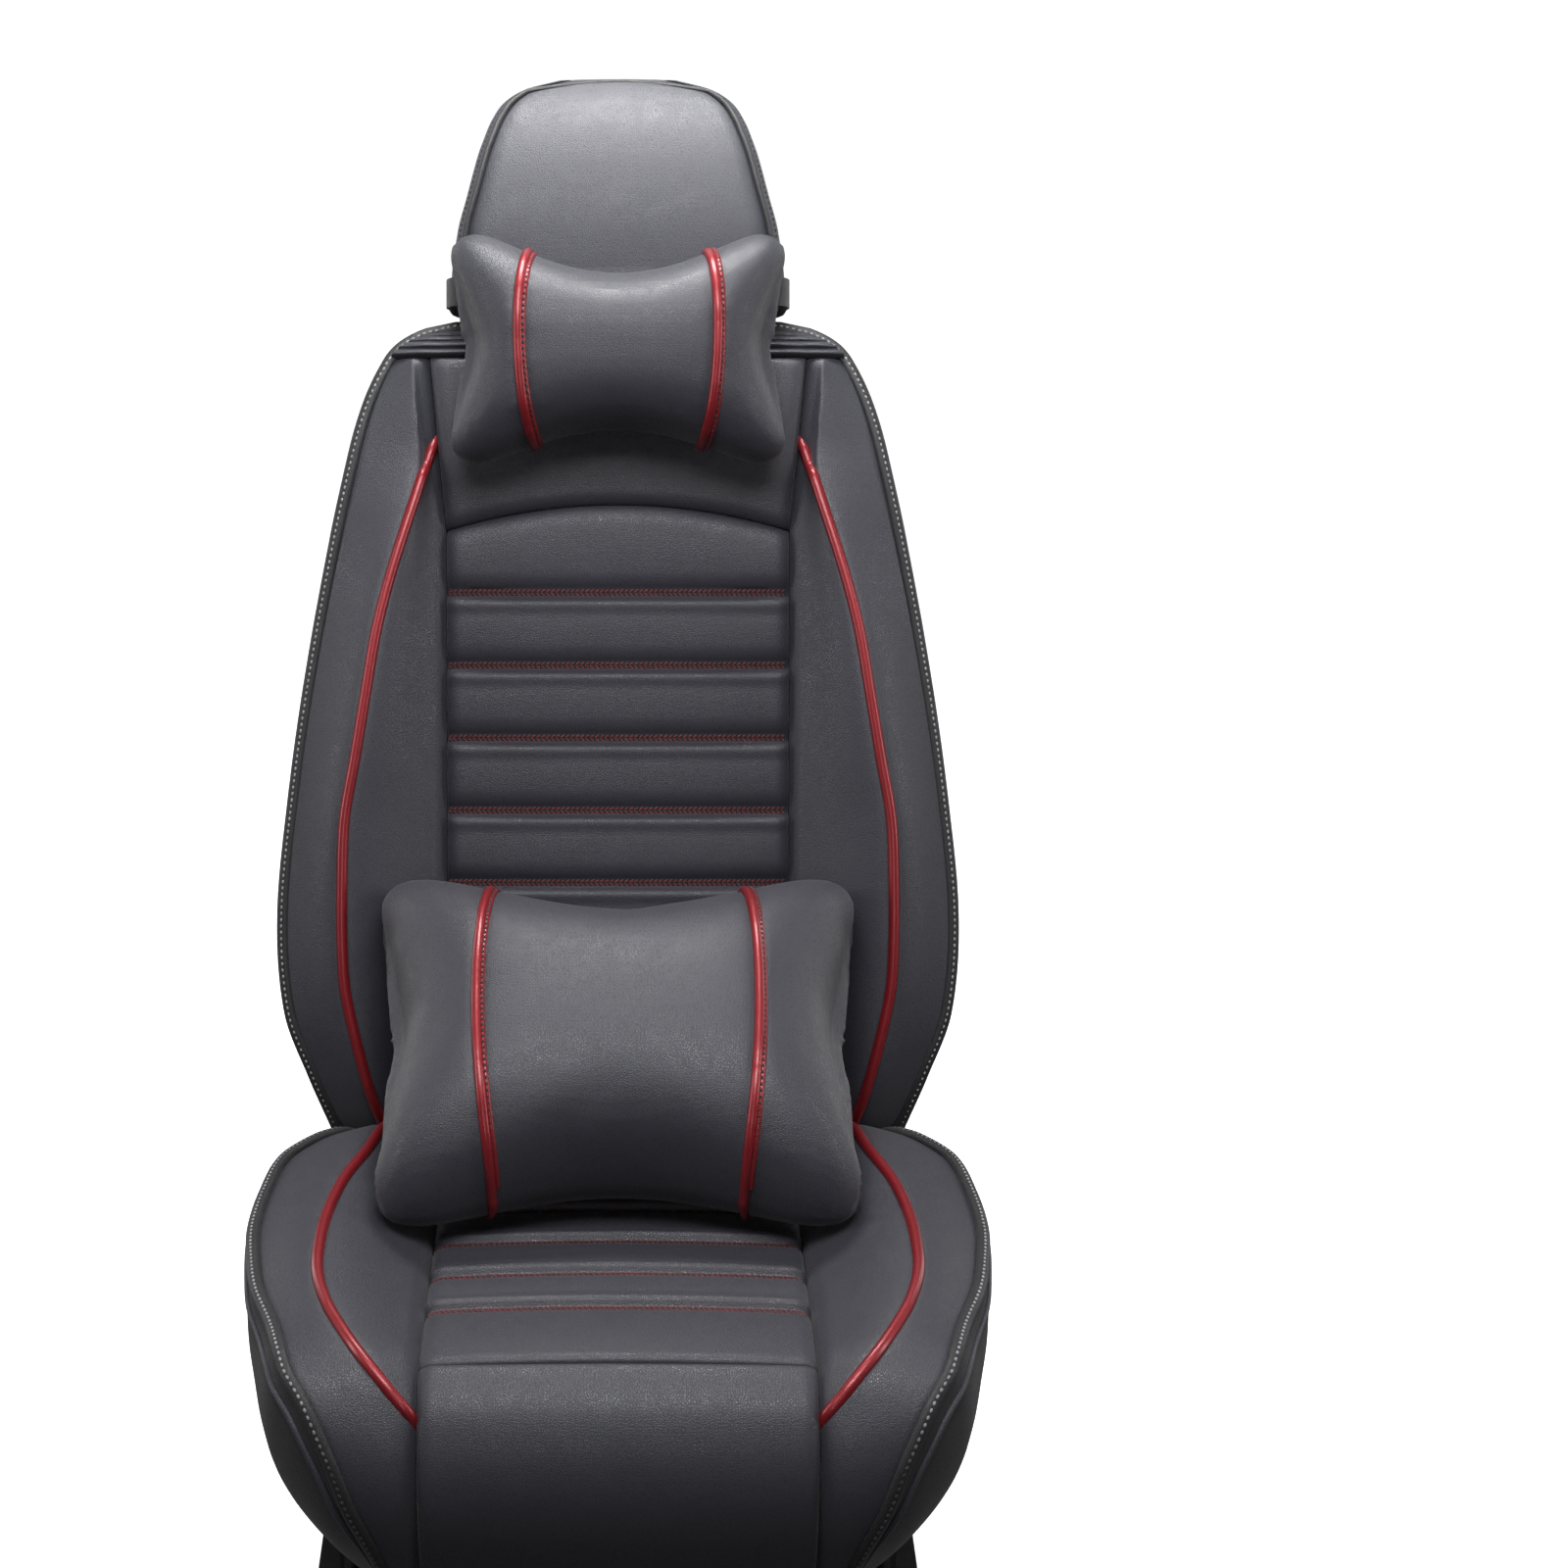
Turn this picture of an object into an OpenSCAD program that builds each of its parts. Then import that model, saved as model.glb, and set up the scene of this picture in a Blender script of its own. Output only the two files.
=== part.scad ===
// Car front seat with a fitted leather cover, a neck pillow and a lumbar pillow.
// X runs across the seat, -Y is forward, +Z is up. The origin is the centre of the
// floor bolt pattern, and the feet stand on Z = 0.

/* [Floor rails] */
// Distance between the two rails, centre to centre
rail_spacing = 400; // [380:5:430]
// Distance between the front and the rear floor bolts
bolt_spacing = 510; // [500:5:540]
// Radius of the holes for the floor bolts
bolt_hole_r = 4.5; // [3.5:0.25:5.5]
// Length of the lower rails
lower_rail_len = 460; // [450:5:470]
// Width of the lower rails
rail_w = 44; // [42:1:48]
// Height of the lower rails
rail_h = 24; // [22:1:28]
// Wall of the lower rails
rail_wall = 2.5; // [2:0.25:3]
// Height of the rails' undersides above the floor
rail_lift = 14; // [10:1:18]
// Length of the upper rails
upper_rail_len = 420; // [410:5:440]

/* [Seat frame] */
// Height of the recliner pivot above the floor
pivot_z = 235; // [234:0.5:236]
// Distance of the recliner pivot behind the origin
pivot_y = 200; // [199:0.5:201]
// Angle that the upright backrest leans back
back_lean = 20; // [19.5:0.5:20.5]
// Distance from the centre to the outer face of each side member
side_member_x = 196; // [195:0.5:196]
// Thickness of the side members' steel
plate_t = 3; // [2:0.5:3]
// Radius of the cross tubes
tube_r = 12; // [9:0.5:13]
// Radius of the recliner shaft
shaft_r = 5; // [4:0.5:6]
// Running clearance of the shaft in its bores
shaft_gap = 0.05; // [0.02:0.01:0.1]
// Radius of the spring wire
wire_r = 2; // [1.5:0.25:2.25]
// Radius of the buckle anchor bore
anchor_r = 5.5; // [4.5:0.25:6.5]

/* [Cushion] */
// Half the width of the stitched centre panel, on cushion and backrest
centre_w = 133; // [130:0.5:136]
// Height of the foam's underside above the floor
foam_z = 222; // [221:0.5:224]
// Height of the centre panel at the front of the cushion
seat_front_z = 315; // [312:0.5:318]
// Height of the centre panel at the rear of the cushion
seat_rear_z = 279; // [277:0.5:280]
// Distance of the front seam before the origin
seat_front_y = 271; // [268:1:272]
// Distance between two stitched rows of the cushion
seat_row_pitch = 54; // [50:0.5:56]
// Depth of the stitched channels
channel_d = 5; // [2:0.5:7]
// Height of the lower edge of the skirts
skirt_z = 152; // [148:1:158]

/* [Backrest] */
// Height of the top seam along the backrest, from the pivot
top_seam_s = 616; // [612:1:618]
// Height of the backrest's top edge, from the pivot
back_top_s = 641; // [638:0.5:642]
// Depth of the centre panel's face before the pivot plane
back_face_n = 85; // [83:0.5:86]
// Depth of the foam's rear face before the pivot plane
foam_n = 30; // [28:0.5:32]
// Depth of the rear shell behind the pivot plane
shell_n = 52; // [50:0.5:54]
// Distance between two stitched rows of the backrest
back_row_pitch = 56.3; // [54:0.1:57]
// Height of the top stitched row, from the pivot
back_row_top = 434; // [430:1:438]
// Thickness of the side and skirt covers
cover_t = 10; // [8:0.5:10]

/* [Head restraint] */
// Distance between the two posts of the head restraint
post_spacing = 160; // [150:2:170]
// Radius of the posts
post_r = 6; // [5:0.25:6.5]
// Height of the head restraint's pad
head_h = 192; // [188:1:196]
// Gap between the backrest's top and the head restraint
head_gap = 5; // [4:0.5:7]

/* [Pillows] */
// Width of the neck pillow at its corners
neck_w = 264; // [256:1:268]
// Height of the neck pillow at its corners
neck_h = 183; // [176:1:187]
// Thickness of the neck pillow
neck_t = 88; // [80:1:90]
// Width of the lumbar pillow at its corners
lumbar_w = 364; // [356:1:370]
// Height of the lumbar pillow at its corners
lumbar_h = 307; // [299:1:309]
// Thickness of the lumbar pillow
lumbar_t = 144; // [134:1:148]

/* [Trim] */
// Radius of the pipings
piping_r = 3; // [2.5:0.25:3.5]
// Gap between two pads where they are sewn together
seam_gap = 0.4; // [0.3:0.05:0.5]

/* [Hidden] */
$fn = 32;
leather = [0.24, 0.24, 0.26];
leather_side = [0.19, 0.19, 0.20];
piping_red = [0.67, 0.16, 0.19];
steel = [0.16, 0.16, 0.17];
zinc = [0.62, 0.63, 0.65];
plastic = [0.09, 0.09, 0.10];

rail_x = rail_spacing / 2;
rail_top_z = rail_lift + rail_h;
upper_base_z = rail_top_z + 8;      // underside of the upper rail's top flange
frame_z = upper_base_z + plate_t;   // face that the side members stand on
side_in = side_member_x - plate_t;  // inner face of the side members
back_plate_x = side_in - 12;        // outer face of the backrest's side members
seat_slope = (seat_front_z - seat_rear_z) / (105 + seat_front_y);
clear = 0.3;

// ---------- curves ----------
// Station before t in a table of [t, value] rows
function station(t, tab, i = 0) =
  i >= len(tab) - 2 || t <= tab[i + 1][0] ? i : station(t, tab, i + 1);
function slope(tab, i) =
  let (a = max(i - 1, 0), b = min(i + 1, len(tab) - 1))
  (tab[b][1] - tab[a][1]) / (tab[b][0] - tab[a][0]);
// Smooth value at t through the rows of a table
function curve(t, tab) =
  let (i = station(t, tab), h = tab[i + 1][0] - tab[i][0], u = (t - tab[i][0]) / h,
       u2 = u * u, u3 = u2 * u)
  (2 * u3 - 3 * u2 + 1) * tab[i][1] + (u3 - 2 * u2 + u) * h * slope(tab, i)
  + (3 * u2 - 2 * u3) * tab[i + 1][1] + (u3 - u2) * h * slope(tab, i + 1);
function bezier(a, b, c, t) = (1 - t) * (1 - t) * a + 2 * t * (1 - t) * b + t * t * c;
function span(a, b, n) = [for (i = [0:n]) a + (b - a) * i / n];
function unit(v) = v / norm(v);
function back_to_front(list) = [for (i = [len(list) - 1:-1:0]) list[i]];

// ---------- solids swept through rings of points ----------
// crossed picks the other diagonal of each quad, so that two neighbours share their creases
module loft(rings, crossed = false) {
  m = len(rings);
  k = len(rings[0]);
  start = [for (c = [0:2]) [for (p = rings[0]) p[c]] * [for (i = [1:k]) 1] / k];
  end = [for (c = [0:2]) [for (p = rings[m - 1]) p[c]] * [for (i = [1:k]) 1] / k];
  points = concat([for (r = rings) each r], [start, end]);
  sides = [for (i = [0:m - 2], j = [0:k - 1]) let (n = (j + 1) % k, a = i * k, b = a + k)
    each crossed ? [[a + j, b + j, a + n], [b + j, b + n, a + n]]
                 : [[a + j, b + j, b + n], [a + j, b + n, a + n]]];
  caps = [for (j = [0:k - 1]) let (n = (j + 1) % k)
    each [[m * k, j, n], [m * k + 1, (m - 1) * k + n, (m - 1) * k + j]]];
  polyhedron(points, concat(sides, caps), convexity = 8);
}
// Loft of rings that run the other way round
module loft_back(rings, crossed = false) loft([for (r = rings) back_to_front(r)], crossed);
// Rings of a tube round a path
function tube_rings(path, r, sides, ref) =
  let (m = len(path))
  [for (i = [0:m - 1])
    let (d = unit(path[min(i + 1, m - 1)] - path[max(i - 1, 0)]), e = unit(cross(d, ref)), f = cross(d, e))
    [for (j = [0:sides - 1]) path[i] + r * (cos(360 * j / sides) * e + sin(360 * j / sides) * f)]];
// ref is a direction that the path never follows
module tube(path, r, sides = 6, ref = [1, 0, 0]) loft(tube_rings(path, r, sides, ref));
// Backrest frame: X across, Z up along the backrest, -Y towards the sitter
module in_back() translate([0, pivot_y, pivot_z]) rotate([-back_lean, 0, 0]) children();
module both() {
  children();
  mirror([1, 0, 0]) children();
}
module along_x(x0, x1, y, z, r) translate([x0, y, z]) rotate([0, 90, 0]) cylinder(h = x1 - x0, r = r);

// ---------- floor rails ----------
module lower_rail(side) color(zinc) translate([side * rail_x, 0, rail_lift]) difference() {
  translate([-rail_w / 2, -lower_rail_len / 2, 0]) cube([rail_w, lower_rail_len, rail_h]);
  translate([rail_wall - rail_w / 2, -lower_rail_len, rail_wall])
    cube([rail_w - 2 * rail_wall, 2 * lower_rail_len, rail_h - 2 * rail_wall]);
  translate([-slot_w / 2, -lower_rail_len, 0.5 * rail_h]) cube([slot_w, 2 * lower_rail_len, rail_h]);
}
slot_w = 16;
web_w = 6;
foot_w = 60;
foot_len = 84;
module feet(end) color(steel) for (side = [-1, 1]) {
  bolt_y = end * bolt_spacing / 2;
  inner_y = bolt_y - end * (foot_len - 16);
  translate([side * rail_x, 0, 0]) difference() {
    union() {
      translate([-foot_w / 2, min(bolt_y + end * 16, inner_y), 0]) cube([foot_w, foot_len, 4]);
      translate([-rail_w / 2, end > 0 ? inner_y : -lower_rail_len / 2, 0])
        cube([rail_w, abs(lower_rail_len / 2 - abs(inner_y)), rail_lift]);
    }
    translate([0, bolt_y, -1]) cylinder(h = rail_lift, r = bolt_hole_r);
  }
}
flange_t = 3;
flange_z = rail_lift + rail_wall + 4;
module upper_rail(side) color(zinc) translate([side * rail_x, -upper_rail_len / 2, 0]) {
  flange_w = rail_w - 2 * rail_wall - 5;
  translate([-flange_w / 2, 0, flange_z]) cube([flange_w, upper_rail_len, flange_t]);
  translate([-web_w / 2, 0, flange_z]) cube([web_w, upper_rail_len, upper_base_z - flange_z + 1]);
  translate([-18, 0, upper_base_z]) cube([36, upper_rail_len, plate_t]);
}
module glide_pads() color(plastic) for (side = [-1, 1], y = [-150, 150])
  translate([side * rail_x - 14, y - 20, rail_lift + rail_wall + clear])
    cube([28, 40, flange_z - rail_lift - rail_wall - clear]);

// ---------- seat frame ----------
anchor_y = 90;
anchor_z = 100;
recliner_r = 38;
module side_member(side) color(steel) translate([side > 0 ? side_in : -side_member_x, 0, 0]) {
  difference() {
    union() {
      rotate([90, 0, 90]) linear_extrude(plate_t)
        polygon([[-205, frame_z], [-208, 120], [-200, foam_z - 34], [-60, foam_z - 34], [60, 178],
                 [116, 176], [130, foam_z], [pivot_y - recliner_r + 2, pivot_z + 10],
                 [pivot_y, pivot_z + recliner_r - 8],
                 [pivot_y + recliner_r - 4, pivot_z - 12], [205, frame_z]]);
      translate([0, pivot_y, pivot_z]) rotate([0, 90, 0]) cylinder(h = plate_t, r = recliner_r);
    }
    translate([-1, pivot_y, pivot_z]) rotate([0, 90, 0]) cylinder(h = plate_t + 2, r = shaft_r + shaft_gap);
    if (side < 0) translate([-1, anchor_y, anchor_z]) rotate([0, 90, 0]) cylinder(h = plate_t + 2, r = anchor_r);
    translate([-1, handle_pivot_y, handle_z]) rotate([0, 90, 0])
      cylinder(h = plate_t + 2, r = handle_pin_r + shaft_gap);
  }
  translate([side > 0 ? -14 : plate_t, -200, frame_z]) cube([14, 400, plate_t]);
}
bolt_ys = [-160, -60, 60, 160];
module frame_bolts() color(zinc) for (side = [-1, 1], y = bolt_ys)
  translate([side * (side_in - 7), y, frame_z + plate_t]) cylinder(h = 5, r = 5.5);
front_tube = [-170, 160];
rear_tube = [120, 125];
module cross_tube(at) color(steel) along_x(-side_in, side_in, at[0], at[1], tube_r);
spring_z = foam_z - clear - wire_r;
anchor_tube_r = 8;
anchor_tube_y = 138;
module spring_anchor_tube() color(steel)
  along_x(-side_in, side_in, anchor_tube_y, spring_z - wire_r - anchor_tube_r, anchor_tube_r);
pan_t = 2;
pan_rear_y = -70;
module seat_pan() color(steel) translate([-side_in, 0, 0]) rotate([90, 0, 90])
  linear_extrude(2 * side_in)
    polygon([[pan_rear_y, spring_z - wire_r], [pan_rear_y, spring_z - wire_r - pan_t],
             [-213, spring_z - wire_r - pan_t], [-213, 165], [-215, 165],
             [-215, foam_z - clear], [-90, foam_z - clear], [-90, spring_z - wire_r]]);
// One sinuous spring in the XY plane: runs across X joined by half-round bends
module sinuous(y0, y1, bends, half_w) {
  pitch = (y1 - y0) / bends;
  path = concat([[-half_w, y0, 0]], [for (i = [0:bends - 1], c = [-60, 0, 60])
    [(i % 2 == 0 ? 1 : -1) * (half_w - pitch / 2 + cos(c) * pitch / 2),
     y0 + (i + 0.5 + sin(c) / 2) * pitch, 0]], [[(bends % 2 == 0 ? -1 : 1) * half_w, y1, 0]]);
  tube(path, wire_r, 5, [0, 0, 1]);
}
module seat_springs() color(zinc) for (x = [-110, -37, 37, 110])
  translate([x, 0, spring_z]) sinuous(pan_rear_y + 3, anchor_tube_y, 9, 20);
module recliner_discs(x0, w, r) both() difference() {
  along_x(x0, x0 + w, pivot_y, pivot_z, r);
  along_x(x0 - 1, x0 + w + 1, pivot_y, pivot_z, shaft_r + shaft_gap);
}
module recliner_base_plates() color(zinc) recliner_discs(side_in - 6, 6, 34);
module recliner_back_plates() color(zinc) recliner_discs(back_plate_x, 12 - 6 - clear, 32);
cover_x = 200;
cover_rim = 8;
boss = [140, 165];
module recliner_cover(side) color(plastic) mirror([side < 0 ? 1 : 0, 0, 0]) {
  difference() {
    hull() {
      along_x(cover_x, cover_x + cover_rim, pivot_y, pivot_z, 32);
      along_x(cover_x, cover_x + cover_rim, boss[0], boss[1], 22);
    }
    along_x(cover_x - 1, cover_x + cover_rim + 1, pivot_y, pivot_z, 12);
  }
  along_x(side_member_x, cover_x + 1, boss[0], boss[1], 9);
}

// ---------- cushion ----------
front_y = -seat_front_y;
nose_start = 126 - front_y;         // distance along the cushion's profile to the front seam
// Centre line of the cushion's face as [y, z], from its rear end over the nose to the hem
function seat_line(v) = curve(v, [
  [0, [120, seat_rear_z - 24]], [20, [106, seat_rear_z]],
  [120, [6, seat_rear_z + 100 * seat_slope]], [nose_start - 40, [front_y + 40, seat_front_z - 40 * seat_slope]],
  [nose_start, [front_y, seat_front_z - 1]], [nose_start + 33, [front_y - 29, seat_front_z - 14]],
  [nose_start + 63, [front_y - 47, seat_front_z - 39]], [nose_start + 93, [front_y - 55, seat_front_z - 68]],
  [nose_start + 124, [front_y - 54, seat_front_z - 99]], [nose_start + 160, [front_y - 44, skirt_z + 28]],
  [nose_start + 190, [front_y - 32, skirt_z]]]);
// Outward normal of that line
function seat_normal(v) = let (d = unit(seat_line(v + 2) - seat_line(v - 2))) [d[1], -d[0]];
// Underside of the bolsters' foam
function seat_under(v) = curve(v, [
  [20, [106, foam_z]], [nose_start - 45, [front_y + 45, foam_z]], [nose_start - 12, [front_y + 18, foam_z]],
  [nose_start + 23, [front_y + 7, foam_z - 8]], [nose_start + 63, [front_y + 3, foam_z - 18]],
  [nose_start + 103, [front_y + 1, foam_z - 32]], [nose_start + 143, [front_y + 1, foam_z - 50]],
  [nose_start + 190, [front_y + 1, skirt_z + 2]]]);
function seat_edge_x(v) = centre_w - 133 + curve(v, [
  [20, 190], [38, 196], [64, 207], [88, 227], [126, 247], [180, 256], [232, 259], [276, 255], [316, 248],
  [356, 235], [406, 221], [430, 207], [468, 189], [502, 177], [536, 163], [587, 147]]);
function seat_edge_h(v) = curve(v, [
  [20, -14], [38, 4], [64, 24], [88, 30], [126, 31], [180, 27], [232, 22], [276, 18], [316, 14], [356, 10],
  [406, 6], [430, 3], [468, 0], [587, 0]]);
function seat_crest_x(v) = centre_w - 133 + curve(v, [
  [20, 165], [66, 177], [126, 187], [180, 199], [232, 206], [274, 208], [316, 206], [356, 195], [390, 177],
  [420, 152], [438, 136], [445, 134.5], [587, 134.5]]);
function seat_crest_h(v) = curve(v, [
  [20, -12], [38, 12], [66, 30], [126, 37], [180, 38], [232, 36], [276, 33], [316, 28], [356, 21], [390, 12],
  [420, 5], [445, 0], [470, 0], [587, 0]]);
// Height of a bolster's face over the cushion's line
function seat_bolster_h(x, v) =
  let (e = seat_edge_x(v) - 1, c = min(max(seat_crest_x(v), centre_w + 20), e - 6))
  curve(x, [[centre_w, -6], [centre_w + 8, 0.12 * seat_crest_h(v) + 1], [c, max(seat_crest_h(v), 2)],
            [e, seat_edge_h(v)]]);
function on_seat(x, v, h) = let (p = seat_line(v) + h * seat_normal(v)) [x, p[0], p[1]];
function seat_edge(v) = on_seat(seat_edge_x(v), v, seat_edge_h(v));
seat_vs = [28, 38, 52, 70, 95, 126, 165, 205, 245, 285, 320, 350, 375, 400, 425, 450, 475, 502, 530, 558, 585];
function seat_bolster_ring(v) =
  let (e = seat_edge_x(v) - 1, u = seat_under(v), y = v < nose_start - 45 ? seat_line(v)[0] : u[0])
  concat([for (x = span(centre_w + seam_gap, e, 8)) on_seat(x, v, seat_bolster_h(x, v))],
         [[max(e - 11, centre_w + 6), y, u[1]], [centre_w + seam_gap, y, u[1]]]);
module seat_bolster() color(leather) loft_back([for (v = seat_vs) seat_bolster_ring(v)]);

// Lower edge of the skirts and how far they stand out, along the same stations
function skirt_hem(v) = curve(v, [
  [38, [206, 84, skirt_z + 30]], [95, [222, 31, skirt_z]], [180, [224, -54, skirt_z]],
  [276, [220, -150, skirt_z]], [356, [208, -215, skirt_z]], [406, [196, -243, skirt_z]],
  [468, [178, -268, skirt_z]], [536, [161, -286, skirt_z]], [587, [150, -296, skirt_z - 1]]]);
function skirt_bulge(v) = curve(v, [
  [38, 8], [126, 26], [232, 32], [316, 38], [356, 46], [406, 53], [430, 54], [468, 48], [502, 38], [536, 22],
  [587, 3]]);
function skirt_ring(v) =
  let (a = seat_edge(v) + [1.6, 0, 0], c = skirt_hem(v), m = (a + c) / 2 + [skirt_bulge(v), 0, 14],
       u = seat_under(v), y = v < nose_start - 45 ? seat_line(v)[0] : u[0],
       nose = max(0, min(1, (v - 356) / 100)))
  concat([for (t = span(0, 1, 6)) bezier(a, m, c, t)],
         [c + [-cover_t * (1 - 0.5 * nose), 0.6 * cover_t * nose, 0.5],
          [max(seat_edge_x(v) - 11.4, centre_w + 7), y, u[1]], seat_edge(v) + [-0.4, 0, 0]]);
skirt_vs = [for (v = seat_vs) if (v >= 38) v];
module seat_skirt() color(leather_side) loft_back([for (v = skirt_vs) skirt_ring(v)], true);

// Rows where the centre panel is stitched down
seat_rows = [for (i = [5:-1:0]) -190 + i * seat_row_pitch];
function row_steps(rows, pitch, side) = [for (r = rows) each [for (o = [14, 5, 0, -5, -14]) r + side * o]];
function groove(t, rows) = let (d = min([for (r = rows) abs(t - r)])) -channel_d * max(0, 1 - d / 14);
// Crown of a centre panel across its width: fuller in the middle, drawn down at the side seams
function crown(x) = let (u = abs(x) / centre_w) 4 * (1 - u * u) - 7 * pow(u, 14);
panel_xs = [for (u = [-1, -0.93, -0.7, -0.35, 0, 0.35, 0.7, 0.93, 1]) u * (centre_w - seam_gap / 2)];
module seat_centre_pad() color(leather) loft([for (x = panel_xs) concat(
  [[x, 120, seat_rear_z - 22]],
  [for (y = row_steps(seat_rows, seat_row_pitch, 1))
    [x, y, seat_rear_z + (106 - y) * seat_slope + crown(x) + groove(y, seat_rows)]],
  [[x, -235, seat_front_z - 36 * seat_slope + crown(x)],
   [x, front_y + 8, seat_front_z - 1 + crown(x)], [x, front_y + seam_gap, seat_front_z - 5 + crown(x) / 2],
   [x, front_y + seam_gap, foam_z], [x, 120, foam_z]])]);
module seat_front_pad() color(leather) loft([for (x = panel_xs) concat(
  [[x, front_y - seam_gap, seat_front_z - 6 + crown(x) / 2]],
  [for (v = [10, 33, 63, 93, 124, 160, 189]) on_seat(x, nose_start + v, crown(x) / 2)],
  [[x, front_y - seam_gap, skirt_z + 1], [x, front_y - seam_gap, seat_front_z - 16]])]);
function seat_red_path() = [for (v = span(52, 442, 22))
  let (x = max(seat_crest_x(v), centre_w + 2)) on_seat(x, v, seat_bolster_h(x, v) + piping_r * 0.4)];
module seat_red_piping() color(piping_red) both() tube(seat_red_path(), piping_r);
module seat_edge_piping() color(leather_side) both()
  tube([for (v = span(42, 580, 30)) seat_edge(v) + [0, 0, v < 400 ? 1 : 0]], piping_r);

// ---------- backrest: points are [x, -n, s] in the backrest frame ----------
function at_back(x, s, n) = [x, -n, s];
corner_s = back_top_s - 641;
function back_edge_x(s) = centre_w - 133 + curve(s, [
  [12, 219], [20, 222], [60, 238], [110, 256], [185, 261], [280, 252], [365, 240], [460, 223], [540, 206],
  [577, 196], [607, 183], [625 + corner_s, 170], [637 + corner_s, 148], [641 + corner_s, 128]]);
function back_edge_n(s) = curve(s, [
  [12, 78], [60, 92], [120, 96], [280, 95], [400, 92], [520, 88], [577, 80], [616, 71], [641, 60]]);
function back_crest_x(s) = centre_w - 133 + curve(s, [
  [12, 178], [47, 190], [94, 202], [130, 209], [165, 211], [212, 211], [260, 209], [307, 201], [356, 193],
  [399, 186], [430, 179], [462, 170], [498, 159], [530, 148], [616, 148]]);
function back_crest_h(s) = curve(s, [
  [12, 5], [30, 22], [60, 34], [120, 42], [200, 45], [300, 44], [380, 38], [450, 29], [500, 20], [540, 10],
  [580, 6], [616, 0]]);
function seam_x(s) = centre_w + 13 * max(0, (s - 480) / 136);
// Height of a back bolster's face before the centre panel's face
function back_bolster_h(x, s) =
  let (e = back_edge_x(s) - 1, a = seam_x(s), c = min(max(back_crest_x(s), a + 14), e - 8))
  curve(x, [[a, -6], [a + 8, 0.15 * back_crest_h(s)], [c, back_crest_h(s)], [e, back_edge_n(s) - back_face_n]]);
// Rear face of a bolster, which clears the recliner below
recliner_clear = recliner_r + 1;
function bolster_rear(s) = max(foam_n, sqrt(max(0, recliner_clear * recliner_clear - s * s)));
back_ss = [14, 24, 42, 66, 95, 130, 170, 215, 260, 305, 350, 390, 425, 458, 490, 520, 550, 580, 600,
           top_seam_s - seam_gap];
function back_bolster_ring(s) =
  let (e = back_edge_x(s) - 1, a = seam_x(s) + seam_gap)
  concat([for (x = span(a, e, 8)) at_back(x, s, back_face_n + back_bolster_h(x, s))],
         [at_back(e - 11, s, bolster_rear(s)), at_back(a, s, bolster_rear(s))]);
module back_bolster() color(leather) in_back() loft([for (s = back_ss) back_bolster_ring(s)]);
function gusset_ring(s) =
  let (a = [back_edge_x(s) + 0.8, back_edge_n(s) - 1], c = [back_edge_x(s) - 28, -shell_n],
       m = [back_edge_x(s) + (s < 70 ? 4 : 12), 34])
  concat([for (t = span(0, 1, 6)) let (p = bezier(a, m, c, t)) at_back(p[0], s, p[1])],
         [at_back(c[0] - cover_t, s, -shell_n + 1), at_back(back_edge_x(s) - 11.4, s, foam_n),
          at_back(back_edge_x(s) - 0.5, s, back_edge_n(s) - 1)]);
module back_gusset() color(leather_side) in_back() loft([for (s = back_ss)
  if (s > recliner_clear) gusset_ring(s)]);

back_rows = [for (i = [7:-1:0]) back_row_top - i * back_row_pitch];
function arch_s(x) = back_row_top + 48 + 20 * (1 - pow(x / centre_w, 2));
module back_centre_pad() color(leather) in_back() loft_back([for (x = panel_xs) concat(
  [at_back(x, 16, foam_n), at_back(x, 16, back_face_n - 22), at_back(x, 24, back_face_n - 6 + crown(x) / 2)],
  [for (s = row_steps(back_rows, back_row_pitch, -1)) if (s > 30)
    at_back(x, s, back_face_n + crown(x) + groove(s, back_rows))],
  [at_back(x, arch_s(x) - 14, back_face_n + crown(x)),
   at_back(x, arch_s(x) - seam_gap / 2, back_face_n - 5 + crown(x) / 2),
   at_back(x, arch_s(x) - seam_gap / 2, foam_n)])]);
yoke_us = [-1, -0.93, -0.7, -0.35, 0, 0.35, 0.7, 0.93, 1];
function yoke_point(u, k, n) =
  let (s0 = arch_s(u * centre_w) + seam_gap / 2, s = s0 + (top_seam_s - seam_gap - s0) * k)
  at_back(u * (seam_x(s) - seam_gap / 2), s, n);
module back_yoke_pad() color(leather) in_back() loft_back([for (u = yoke_us) concat(
  [yoke_point(u, 0, foam_n), yoke_point(u, 0, back_face_n - 5)],
  [for (k = [0.1, 0.35, 0.65, 0.9]) yoke_point(u, k, back_face_n + 2 + crown(u * centre_w))],
  [yoke_point(u, 1, back_face_n - 4), yoke_point(u, 1, foam_n)])]);
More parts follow.
